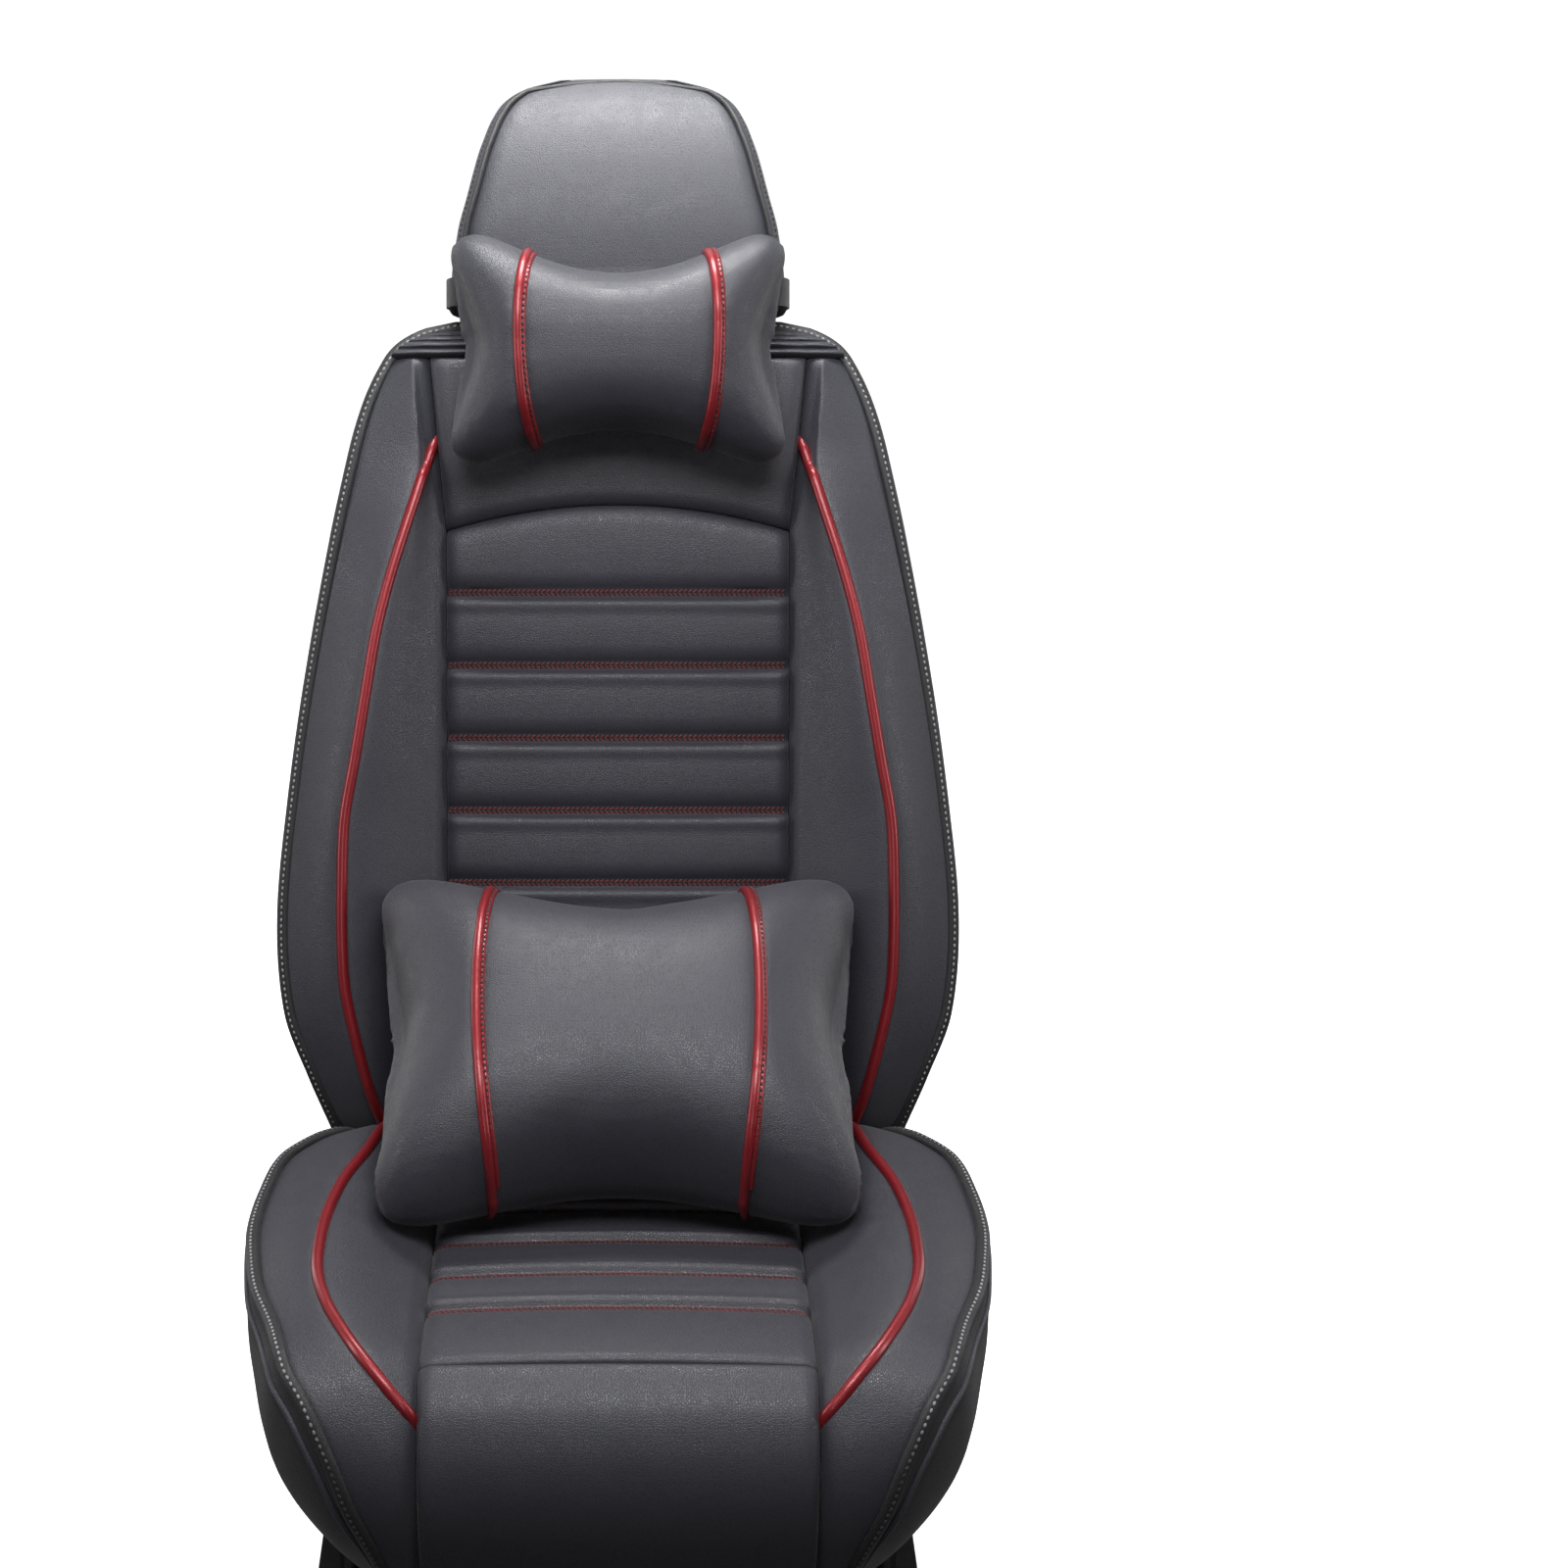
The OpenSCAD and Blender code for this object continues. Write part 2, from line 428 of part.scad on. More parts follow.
// Pleated band along the top edge: profile rows of [share of the corner's width, s, n]
pleat_top = back_top_s - top_seam_s;
top_profile = [
  [0, 0, 80], [0.06, 0.12 * pleat_top, 88], [0.2, 0.3 * pleat_top, 82], [0.32, 0.42 * pleat_top, 85],
  [0.46, 0.56 * pleat_top, 77], [0.6, 0.68 * pleat_top, 78], [0.75, 0.82 * pleat_top, 68],
  [1, pleat_top, 58], [1.05, pleat_top + 2, 30], [1, pleat_top, -10], [0.8, 0.8 * pleat_top, -34],
  [0.3, 0.35 * pleat_top, -48], [0.1, 0, -50]];
function top_half_w(k) = let (w = back_edge_x(top_seam_s) - 2) w + (back_edge_x(back_top_s) - w) * pow(k, 1.5);
module back_top_pad() color(leather) in_back() difference() {
  loft_back([for (u = [-1, -0.93, -0.6, -0.2, 0.2, 0.6, 0.93, 1]) [for (p = top_profile)
    at_back(u * top_half_w(p[0]), top_seam_s + p[1],
            p[2] - 8 * pow(abs(u), 8) * (p[2] > 0 ? 1 : 0))]]);
  for (x = [-1, 1]) translate([x * post_spacing / 2, -post_n, top_seam_s - 10])
    cylinder(h = 60, r = guide_r + clear);
}
panel_ss = [30, 60, 110, 185, 280, 365, 460, 540, 580, 614];
module back_panel() color(plastic) in_back() loft([for (s = panel_ss)
  let (w = back_edge_x(s) - 30) concat(
  [for (u = [-1, -0.6, 0, 0.6, 1]) at_back(u * w, s, -shell_n - 0.4 - 6 * (1 - u * u))],
  [for (u = [1, 0.6, 0, -0.6, -1]) at_back(u * w, s, -shell_n - 5 - 6 * (1 - u * u))])]);
module map_pocket() color(leather_side) in_back() loft([for (s = [110, 150, 220, 300, 345])
  let (w = 150 + 0.06 * (s - 110), d = s > 120 ? 11 : 6) concat(
  [for (u = [-1, 0, 1]) at_back(u * w, s, -shell_n - 11.8 + (abs(u) > 0.5 ? 3 : 0))],
  [for (u = [1, 0.5, 0, -0.5, -1]) at_back(u * w, s, -shell_n - 12 - d * (1 - 0.8 * u * u))])]);
back_red_ss = span(16, 553, 26);
module back_red_piping() color(piping_red) in_back() both() tube([for (s = back_red_ss)
  let (x = back_crest_x(s) - max(0, s - 530) * 0.13)
  at_back(x, s, back_face_n + back_bolster_h(x, s) + piping_r * 0.4)], piping_r);
back_edge_half = [for (s = [18, 40, 70, 110, 150, 200, 260, 320, 380, 440, 500, 550, 585, 607, 625, 637])
  at_back(back_edge_x(s), s, back_edge_n(s))];
module back_edge_piping() color(leather_side) in_back() tube(concat(
  back_edge_half, [at_back(128, back_top_s + 0.5, 59), at_back(60, back_top_s + 1, 58)],
  [at_back(-60, back_top_s + 1, 58), at_back(-128, back_top_s + 0.5, 59)],
  [for (p = back_to_front(back_edge_half)) [-p[0], p[1], p[2]]]), piping_r, 6, [0, 1, 0]);

// ---------- backrest frame ----------
frame_front_n = foam_n - clear;
member_top_s = 500;
module back_side_member(side) color(steel) mirror([side < 0 ? 1 : 0, 0, 0]) in_back() difference() {
  union() {
    translate([back_plate_x - plate_t, -frame_front_n, 10])
      cube([plate_t, frame_front_n + 18, member_top_s - 10]);
    rotate([0, 90, 0]) translate([0, 0, back_plate_x - plate_t]) cylinder(h = plate_t, r = recliner_r - 4);
  }
  rotate([0, 90, 0]) translate([0, 0, back_plate_x - plate_t - 1])
    cylinder(h = plate_t + 2, r = shaft_r + shaft_gap);
}
hoop_r = 10;
hoop_bend = 45;
guide_wall = 3;
guide_r = post_r + guide_wall + 0.6;
post_n = foam_n - clear - guide_r;
hoop_n = post_n - guide_r - hoop_r;
hoop_x = back_plate_x - plate_t - hoop_r;
module back_top_tube() color(steel) in_back() translate([0, -hoop_n, 0]) {
  for (side = [-1, 1]) {
    translate([side * hoop_x, 0, 440]) cylinder(h = 95, r = hoop_r);
    mirror([side < 0 ? 1 : 0, 0, 0]) translate([hoop_x - hoop_bend, 0, 535]) rotate([90, 0, 0])
      rotate_extrude(angle = 90) translate([hoop_bend, 0]) circle(r = hoop_r);
  }
  translate([hoop_bend - hoop_x, 0, 535 + hoop_bend]) rotate([0, 90, 0])
    cylinder(h = 2 * (hoop_x - hoop_bend), r = hoop_r);
}
lower_bar_s = 52;
bar_h = 30;
upper_bar_s = 470;
// Cross bars that the springs of the backrest hook on
module back_cross_bars() color(steel) in_back() for (s = [lower_bar_s, upper_bar_s])
  translate([plate_t - back_plate_x, 2 * wire_r - frame_front_n, s - bar_h / 2])
    cube([2 * (back_plate_x - plate_t), 2.5, bar_h]);
module back_springs() color(zinc) in_back() for (x = [-90, 0, 90])
  translate([x, wire_r - frame_front_n, 0]) rotate([90, 0, 0]) sinuous(lower_bar_s, upper_bar_s + 8, 13, 26);
guide_bottom_s = 560;
sleeve_top_s = back_top_s + 2;
module post_guides() color(steel) in_back() for (side = [-1, 1])
  translate([side * post_spacing / 2, -post_n, guide_bottom_s]) difference() {
    cylinder(h = back_top_s - guide_bottom_s - 4, r = guide_r);
    translate([0, 0, -1]) cylinder(h = 200, r = post_r + guide_wall - 1);
  }
module guide_sleeve(side) color(plastic) in_back()
  translate([side * post_spacing / 2, -post_n, guide_bottom_s]) difference() {
    union() {
      cylinder(h = sleeve_top_s - guide_bottom_s + 0.6, r = post_r + guide_wall - 1.05);
      translate([0, 0, sleeve_top_s + 0.6 - guide_bottom_s]) cylinder(h = head_gap - 3.2, r = guide_r + 5);
    }
    translate([0, 0, -1]) cylinder(h = 200, r = post_r + shaft_gap);
    if (side > 0) translate([button_seat - button_travel - clear, -4.3, sleeve_top_s + 0.5 - guide_bottom_s])
      cube([20, 8.6, 10]);
  }
button_travel = 2;
button_seat = guide_r + 3.6;
module release_button() color(plastic) in_back()
  translate([post_spacing / 2 + button_seat, -post_n - 4, sleeve_top_s + 0.7]) cube([9, 8, head_gap - 3.4]);

// ---------- head restraint ----------
head_s = back_top_s + head_gap;
function head_half_w(k) = curve(k, [
  [0, 110], [8, 124], [24, 130], [70, 125], [97, 118], [128, 110], [143, 105], [158, 99], [173, 89],
  [184, 72], [192, 44]]);
function head_front(k) = curve(k, [
  [0, 66], [14, 86], [40, 88], [80, 87], [115, 81], [145, 71], [170, 58], [184, 47], [192, 39]]);
function head_rear(k) = curve(k, [[0, 8], [16, -12], [50, -16], [110, -12], [150, -4], [178, 8], [192, 24]]);
head_ks = [0, 4, 10, 20, 38, 60, 85, 110, 130, 148, 162, 174, 183, 189, 192];
function head_ring(k, grow = 0) =
  let (w = head_half_w(k) + grow, f = head_front(k) + grow, r = head_rear(k) - grow, m = (f + r) / 2,
       z = head_s + k * head_h / 192)
  concat([for (u = [-0.9, -0.6, -0.2, 0.2, 0.6, 0.9]) at_back(u * w, z, f - 3 * u * u)],
         [at_back(w - 2.5, z, f - 6), at_back(w, z, m + (f - m) * 0.55),
          at_back(w * 0.99, z, m - (m - r) * 0.4)],
         [for (u = [0.86, 0.4, -0.4, -0.86]) at_back(u * w, z, r + 10 * pow(abs(u), 4))],
         [at_back(-w * 0.99, z, m - (m - r) * 0.4), at_back(-w, z, m + (f - m) * 0.55),
          at_back(2.5 - w, z, f - 6)]);
module head_pad() color(leather) in_back() loft([for (k = head_ks) head_ring(k)]);
core_s = head_s + 118;
module head_post(side) color(zinc) in_back()
  translate([side * post_spacing / 2, -post_n, head_s - 146]) cylinder(h = core_s - head_s + 146, r = post_r);
module head_core_bar() color(zinc) in_back() translate([0, -post_n, core_s + post_r]) rotate([0, 90, 0])
  translate([0, 0, -post_spacing / 2 - post_r]) cylinder(h = post_spacing + 2 * post_r, r = post_r);
head_piping_half = [for (k = [6, 24, 48, 72, 97, 120, 138, 152, 164, 174, 181])
  let (w = head_half_w(k) - 5) at_back(w, head_s + k * head_h / 192, head_front(k) - 3.5)];
module head_piping() color(leather_side) in_back() tube(concat(head_piping_half,
  [for (x = [42, -42]) at_back(x, head_s + 0.985 * head_h, head_front(186) - 2)],
  [for (p = back_to_front(head_piping_half)) [-p[0], p[1], p[2]]]), piping_r * 0.8, 6, [0, 1, 0]);

// ---------- pillows ----------
// One pillow as rings across its width: u and v run from -1 to 1 over its face
// p is [width, waist, height, dip of the top edge, dip of the bottom edge, taper]; the corners are cut round
corner_cut = 9;
function dent(t) = pow(1 - t * t, 2);
function pillow_side(u, v, p) = [
  u * (p[0] / 2 - p[1] * dent(v) - corner_cut * u * u * pow(abs(v), 10)) * (1 + p[5] * v),
  v * (p[2] / 2 - (v > 0 ? p[3] : p[4]) * dent(u) - corner_cut * v * v * pow(abs(u), 14))];
// Share of the half width where a piping crosses: q in the middle, less towards the ends
function pipe_u(q, v) = q[0] - q[1] * v * v;
function puff(u, v, t) = t / 2 * sqrt(1 - pow(abs(u), 5)) * sqrt(1 - pow(abs(v), 2.5));
pillow_us = [-0.99, -0.95, -0.86, -0.7, -0.42, 0, 0.42, 0.7, 0.86, 0.95, 0.99];
pillow_vs = [-0.99, -0.94, -0.8, -0.55, -0.2, 0.2, 0.55, 0.8, 0.94, 0.99];
neck_n = 90.4 + neck_t * 0.44;
neck_mid_s = 618;
neck_cut = [neck_w, 18, neck_h, 33, 29, 0];
function neck_place(p, h) = at_back(p[0], neck_mid_s + p[1], neck_n + (h > 0 ? h * 1.12 : 0.88 * h));
function neck_ring(u) = concat(
  [for (v = pillow_vs) neck_place(pillow_side(u, v, neck_cut), puff(u, v, neck_t) + 2)],
  [for (v = back_to_front(pillow_vs))
    neck_place(pillow_side(u, v, neck_cut), -min(puff(u, v, neck_t) + 2, neck_t / 2 - 1))]);
module neck_pillow() color(leather) in_back() loft_back([for (u = pillow_us) neck_ring(u)]);
strap_s = 655;
// The strap runs over the edge piping of the head restraint
function strap_ring(g) = [for (p = head_ring(26, g))
  p[1] < -60 && abs(p[0]) > 100 ? [p[0] + 2 * sign(p[0]), p[1] - 4] : [p[0], p[1] + (p[1] > 0 ? 1.2 : 0)]];
module neck_pillow_strap() color(plastic) in_back() {
  translate([0, 0, strap_s]) linear_extrude(22) difference() {
    polygon(strap_ring(1.6));
    polygon(strap_ring(0.4));
  }
}
pipe_vs = span(-0.97, 0.97, 12);
neck_pipe = [0.617, 0.144];
module neck_pillow_piping() color(piping_red) in_back() both() tube([for (v = pipe_vs)
  let (u = pipe_u(neck_pipe, v)) neck_place(pillow_side(u, v, neck_cut), puff(u, v, neck_t) + 2.6)], piping_r);
// The lumbar pillow lies in the corner of cushion and backrest: its middle sags from foot to head
lumbar_foot = [-114, 324.8];
lumbar_head = [167, 478.8];
lumbar_sag = 12;
lumbar_span = lumbar_head - lumbar_foot;
lumbar_down = unit([lumbar_span[1], -lumbar_span[0]]);
function lumbar_mid(y) = let (t = 2 * y / norm(lumbar_span))
  (lumbar_head + lumbar_foot + t * lumbar_span) / 2 + lumbar_sag * (1 - t * t) * lumbar_down;
function lumbar_place(p, h) =
  let (c = lumbar_mid(p[1]), d = unit(lumbar_mid(p[1] + 1) - lumbar_mid(p[1] - 1)))
  [p[0], c[0] - d[1] * h, c[1] + d[0] * h];
lumbar_cut = [lumbar_w, 17, lumbar_h, 28, 30, 0.02];
lumbar_front = 1.19;
lumbar_back = 0.8;
function lumbar_side(u, v) = pillow_side(u, v, lumbar_cut);
function lumbar_ring(u) = concat(
  [for (v = pillow_vs) lumbar_place(lumbar_side(u, v), puff(u, v, lumbar_t) * lumbar_front + 3)],
  [for (v = back_to_front(pillow_vs)) lumbar_place(lumbar_side(u, v), -puff(u, v, lumbar_t) * lumbar_back - 3)]);
module lumbar_pillow() color(leather) loft_back([for (u = pillow_us) lumbar_ring(u)]);
lumbar_pipe = [0.59, 0.12];
module lumbar_pillow_piping() color(piping_red) both() tube([for (v = pipe_vs)
  let (u = pipe_u(lumbar_pipe, v)) lumbar_place(lumbar_side(u, v), puff(u, v, lumbar_t) * lumbar_front + 3.6)], piping_r);

// ---------- controls ----------
lever_x = cover_x + cover_rim + 5;
module recliner_shaft() color(zinc) along_x(-cover_x - cover_rim + 1, lever_x + 1, pivot_y, pivot_z, shaft_r);
module recline_lever() color(plastic) {
  along_x(lever_x + 1.3, lever_x + 9, pivot_y, pivot_z, 10);
  along_x(lever_x + 1, lever_x + 1.3, pivot_y, pivot_z, shaft_r);
  hull() {
    along_x(lever_x + 2, lever_x + 8, pivot_y - 6, pivot_z - 2, 9);
    along_x(lever_x + 2, lever_x + 8, pivot_y - 106, pivot_z - 22, 8);
  }
}
handle_r = 5;
handle_z = 96;
handle_y = -210;
handle_pivot_y = handle_y + 60;
handle_pin_r = 4;
handle_bend = 20;
handle_arm_x = side_in - 15;
module slide_handle() color(steel) {
  for (side = [-1, 1]) {
    translate([side * handle_arm_x, handle_pivot_y + handle_r, handle_z]) rotate([90, 0, 0])
      cylinder(h = 95, r = handle_r);
    along_x(side > 0 ? handle_arm_x : -side_member_x, side > 0 ? side_member_x : -handle_arm_x,
            handle_pivot_y, handle_z, handle_pin_r);
    translate([side * (handle_arm_x - handle_bend), handle_y - 30, handle_z])
      rotate([0, 0, side > 0 ? -90 : 180])
        rotate_extrude(angle = 90) translate([handle_bend, 0]) circle(r = handle_r);
  }
  bar_x = handle_arm_x - handle_bend;
  along_x(-bar_x, bar_x, handle_y - 30 - handle_bend, handle_z, handle_r);
}

lower_rail(-1);  // lower_rail_left
lower_rail(1);  // lower_rail_right
feet(-1);  // front_feet
feet(1);  // rear_feet
upper_rail(-1);  // upper_rail_left
upper_rail(1);  // upper_rail_right
glide_pads();
side_member(-1);  // side_member_left
side_member(1);  // side_member_right
cross_tube(front_tube);  // front_cross_tube
cross_tube(rear_tube);  // rear_cross_tube
spring_anchor_tube();
seat_pan();
seat_springs();
frame_bolts();
recliner_base_plates();
recliner_cover(-1);  // recliner_cover_left
recliner_cover(1);  // recliner_cover_right
seat_centre_pad();
seat_front_pad();
mirror([1, 0, 0]) seat_bolster();  // seat_bolster_left
seat_bolster();  // seat_bolster_right
mirror([1, 0, 0]) seat_skirt();  // seat_skirt_left
seat_skirt();  // seat_skirt_right
seat_red_piping();
seat_edge_piping();
recliner_back_plates();
back_side_member(-1);  // back_side_member_left
back_side_member(1);  // back_side_member_right
back_top_tube();
back_cross_bars();
back_springs();
post_guides();
guide_sleeve(-1);  // guide_sleeve_left
guide_sleeve(1);  // guide_sleeve_right
back_centre_pad();
back_yoke_pad();
back_top_pad();
mirror([1, 0, 0]) back_bolster();  // back_bolster_left
back_bolster();  // back_bolster_right
mirror([1, 0, 0]) back_gusset();  // back_gusset_left
back_gusset();  // back_gusset_right
back_panel();
map_pocket();
back_red_piping();
back_edge_piping();
head_pad();
head_post(-1);  // head_post_left
head_post(1);  // head_post_right
head_core_bar();
head_piping();
neck_pillow();
neck_pillow_strap();
neck_pillow_piping();
lumbar_pillow();
lumbar_pillow_piping();
recliner_shaft();
recline_lever();
slide_handle();
release_button();
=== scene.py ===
"""Dress the frame of a car front seat with its sewn leather cover, pillows and finishes."""

import math

import bmesh
import bpy
from mathutils import Matrix, Vector


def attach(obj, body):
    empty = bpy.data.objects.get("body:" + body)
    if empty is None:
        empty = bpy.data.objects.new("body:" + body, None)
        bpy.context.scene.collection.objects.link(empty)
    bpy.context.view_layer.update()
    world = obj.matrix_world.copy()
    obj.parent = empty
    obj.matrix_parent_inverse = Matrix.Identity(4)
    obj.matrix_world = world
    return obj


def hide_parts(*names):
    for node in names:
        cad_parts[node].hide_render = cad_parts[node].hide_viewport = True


bl_info = {
    "name": "Car front seat",
    "version": (1, 0, 0),
    "blender": (4, 5, 0),
    "location": "3D View > Sidebar > Seat",
    "description": "Sews the cover, pipings, stitches and pillows onto the frame of a front seat",
    "category": "Object",
}

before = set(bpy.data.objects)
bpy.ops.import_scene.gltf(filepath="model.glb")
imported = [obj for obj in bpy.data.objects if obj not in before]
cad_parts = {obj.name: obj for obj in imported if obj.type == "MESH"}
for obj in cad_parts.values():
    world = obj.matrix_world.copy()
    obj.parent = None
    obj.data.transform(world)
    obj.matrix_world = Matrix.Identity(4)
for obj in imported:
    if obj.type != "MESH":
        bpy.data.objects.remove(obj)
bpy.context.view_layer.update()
MM = 0.001

# Frame places, in millimetres
PIVOT_Y, PIVOT_Z, LEAN = 200.0, 235.0, math.radians(20.0)
FOAM_Z = 222.0
SEAT_FRONT_Y, SEAT_FRONT_Z, SEAT_REAR_Z = 271.0, 315.0, 279.0
SKIRT_Z = 152.0
TOP_SEAM, BACK_TOP, FACE_N, FOAM_N, SHELL_N = 616.0, 641.0, 85.0, 30.0, 52.0
NOSE = 126.0 + SEAT_FRONT_Y        # station of the cushion's line where the front roll starts
SEAT_REAR_Y, SEAT_TOP_Y = 105.0, 120.0
SEAT_SLOPE = (SEAT_FRONT_Z - SEAT_REAR_Z) / (SEAT_REAR_Y + SEAT_FRONT_Y)
HEAD_S = BACK_TOP + 5.0
RECLINER_CLEAR = 39.0

# Details of the cover, in millimetres
GAP = 0.3                          # clearance between neighbouring panels
SIDE_GAP = 0.4                     # clearance of a bolster from the seam beside it
FOOT_GAP = 0.2                     # clearance of a panel over what it rests on
SEAT_START, SEAT_END = 28, 585     # first and last station of the cushion's bolsters
BACK_START, BACK_END = 14, TOP_SEAM - 0.4           # foot and head of the backrest's bolsters
RED_SEAT_END, RED_BACK_END = 443, 554               # where the red pipings end in their seams
DIVE = 14                          # length over which they sink into them
TOP_ROW, ROWS_BACK, ROWS_SEAT = 434.0, 8, 6
LAST_ROW_Y = -190.0                # front row of the cushion
ROW_HALF, ROW_DEPTH = 2.8, 3.4     # channel of a sewn row: half its width, and its depth
RIDGE_H, RIDGE_RISE, RIDGE_FALL = 1.8, 5.2, 10.0    # raised edge beside it: its height, and its two widths
RED_LIP = (8.5, 4.2)               # roll beside a red piping: its width and its depth
EDGE_LIP = (8.0, 3.6)              # roll beside an edge piping
EDGE_SQUEEZE = 1.6                 # an edge piping's width over its height
WELT_R, HEAD_PIPING_R, TAPE_R = 2.6, 2.2, 2.0
THREAD_LIFT = 0.6                  # height of a row's thread over the bottom of its channel


# ---------------------------------------------------------------- curves

def held(t):
    """t kept between 0 and 1."""
    return min(max(t, 0.0), 1.0)


def curve(t, table):
    """Smooth value at t through rows of (t, value), where a value may be a tuple."""
    i = 0
    while i < len(table) - 2 and t > table[i + 1][0]:
        i += 1

    def value(k):
        v = table[k][1]
        return Vector(v) if isinstance(v, (tuple, list)) else v

    def slope(k):
        a, b = max(k - 1, 0), min(k + 1, len(table) - 1)
        return (value(b) - value(a)) / (table[b][0] - table[a][0])

    h = table[i + 1][0] - table[i][0]
    u = (t - table[i][0]) / h
    return ((2 * u**3 - 3 * u**2 + 1) * value(i) + (u**3 - 2 * u**2 + u) * h * slope(i)
            + (3 * u**2 - 2 * u**3) * value(i + 1) + (u**3 - u**2) * h * slope(i + 1))


def span(a, b, n):
    """Even steps from a to b, both included."""
    return [a + (b - a) * i / n for i in range(n + 1)]


def eased(a, b, n, lead):
    """Steps from a to b that lie closer together near both ends, the more so the higher lead is."""
    out = []
    for i in range(n + 1):
        t = i / n
        out.append(a + (b - a) * ((1 - lead) * t + lead * (0.5 - 0.5 * math.cos(math.pi * t))))
    return out


def stations(*stops):
    """Join eased runs: stations(a, n, b, n, c) steps from a to b to c."""
    out = [stops[0]]
    for k in range(1, len(stops), 2):
        out += eased(out[-1], stops[k + 1], stops[k], 0.75)[1:]
    return out


def lip(d, r, depth):
    """How far a stuffed panel rolls down at distance d from its seam."""
    if d >= r:
        return 0.0
    k = 1 - max(d, 0.0) / r
    return -depth * (1 - math.sqrt(max(0.0, 1 - k * k)))


def bezier(a, b, c, t):
    """Point at t of the curve from a to c that is drawn towards b."""
    return (1 - t)**2 * a + 2 * t * (1 - t) * b + t * t * c


# ---------------------------------------------------------------- places on the seat

def at_back(x, s, n):
    """World place, in metres, of a point of the backrest: across, up along it, and out of its face."""
    y = PIVOT_Y + s * math.sin(LEAN) - n * math.cos(LEAN)
    z = PIVOT_Z + s * math.cos(LEAN) + n * math.sin(LEAN)
    return Vector((x, y, z)) * MM


SEAT_LINE = [
    (0, (120, SEAT_REAR_Z - 24)), (20, (106, SEAT_REAR_Z)), (120, (6, SEAT_REAR_Z + 100 * SEAT_SLOPE)),
    (NOSE - 40, (-SEAT_FRONT_Y + 40, SEAT_FRONT_Z - 40 * SEAT_SLOPE)),
    (NOSE, (-SEAT_FRONT_Y, SEAT_FRONT_Z - 1)), (NOSE + 33, (-SEAT_FRONT_Y - 29, SEAT_FRONT_Z - 14)),
    (NOSE + 63, (-SEAT_FRONT_Y - 47, SEAT_FRONT_Z - 39)),
    (NOSE + 93, (-SEAT_FRONT_Y - 55, SEAT_FRONT_Z - 68)),
    (NOSE + 124, (-SEAT_FRONT_Y - 54, SEAT_FRONT_Z - 99)), (NOSE + 160, (-SEAT_FRONT_Y - 44, SKIRT_Z + 28)),
    (NOSE + 190, (-SEAT_FRONT_Y - 32, SKIRT_Z))]
SEAT_UNDER = [
    (20, (106, FOAM_Z)), (NOSE - 45, (-SEAT_FRONT_Y + 45, FOAM_Z)), (NOSE - 12, (-SEAT_FRONT_Y + 18, FOAM_Z)),
    (NOSE + 23, (-SEAT_FRONT_Y + 7, FOAM_Z - 8)), (NOSE + 63, (-SEAT_FRONT_Y + 3, FOAM_Z - 18)),
    (NOSE + 103, (-SEAT_FRONT_Y + 1, FOAM_Z - 32)), (NOSE + 143, (-SEAT_FRONT_Y + 1, FOAM_Z - 50)),
    (NOSE + 190, (-SEAT_FRONT_Y + 1, SKIRT_Z + 2))]
SEAT_EDGE_X = [
    (20, 190), (38, 196), (64, 207), (88, 227), (126, 247), (180, 256), (232, 259), (276, 255), (316, 248),
    (356, 235), (406, 221), (430, 207), (468, 189), (502, 177), (536, 163), (587, 147)]
SEAT_EDGE_H = [
    (20, -14), (38, 4), (64, 24), (88, 30), (126, 31), (180, 27), (232, 22), (276, 18), (316, 14), (356, 10),
    (406, 6), (430, 3), (468, 0), (587, 0)]
SEAT_CREST_X = [
    (20, 165), (66, 177), (126, 187), (180, 199), (232, 206), (274, 208), (316, 206), (356, 195), (390, 177),
    (420, 152), (438, 136), (445, 134.5), (587, 134.5)]
SEAT_CREST_H = [
    (20, -12), (38, 12), (66, 30), (126, 37), (180, 38), (232, 36), (276, 33), (316, 28), (356, 21),
    (390, 12), (420, 5), (445, 0), (470, 0), (587, 0)]
SKIRT_HEM = [
    (38, (206, 84, SKIRT_Z + 30)), (95, (222, 31, SKIRT_Z)), (180, (224, -54, SKIRT_Z)),
    (276, (220, -150, SKIRT_Z)), (356, (208, -215, SKIRT_Z)), (406, (196, -243, SKIRT_Z)),
    (468, (178, -268, SKIRT_Z)), (536, (161, -286, SKIRT_Z)), (587, (150, -296, SKIRT_Z - 1))]
SKIRT_BULGE = [
    (38, 8), (126, 26), (232, 32), (316, 38), (356, 46), (406, 53), (430, 54), (468, 48), (502, 38),
    (536, 22), (587, 3)]
BACK_EDGE_X = [
    (12, 219), (20, 222), (60, 238), (110, 256), (185, 261), (280, 252), (365, 240), (460, 223), (540, 206),
    (577, 196), (607, 183), (625, 170), (637, 148), (641, 128)]
BACK_EDGE_N = [
    (12, 78), (60, 92), (120, 96), (280, 95), (400, 92), (520, 88), (577, 80), (616, 71), (641, 60)]
BACK_CREST_X = [
    (12, 178), (47, 190), (94, 202), (130, 209), (165, 211), (212, 211), (260, 209), (307, 201), (356, 193),
    (399, 186), (430, 179), (462, 170), (498, 159), (530, 148), (616, 148)]
BACK_RED_X = [row for row in BACK_CREST_X if row[0] < 470] + [(510, 155), (535, 147.5), (556, 140.5)]
BACK_CREST_H = [
    (12, 5), (30, 22), (60, 34), (120, 42), (200, 45), (300, 44), (380, 38), (450, 29), (500, 20), (540, 10),
    (580, 6), (616, 0)]
HEAD_HALF_W = [
    (0, 110), (8, 124), (24, 130), (70, 125), (97, 118), (128, 110), (143, 105), (158, 99), (173, 89),
    (184, 72), (192, 44)]
HEAD_FRONT = [(0, 66), (14, 86), (40, 88), (80, 87), (115, 81), (145, 71), (170, 58), (184, 47), (192, 39)]
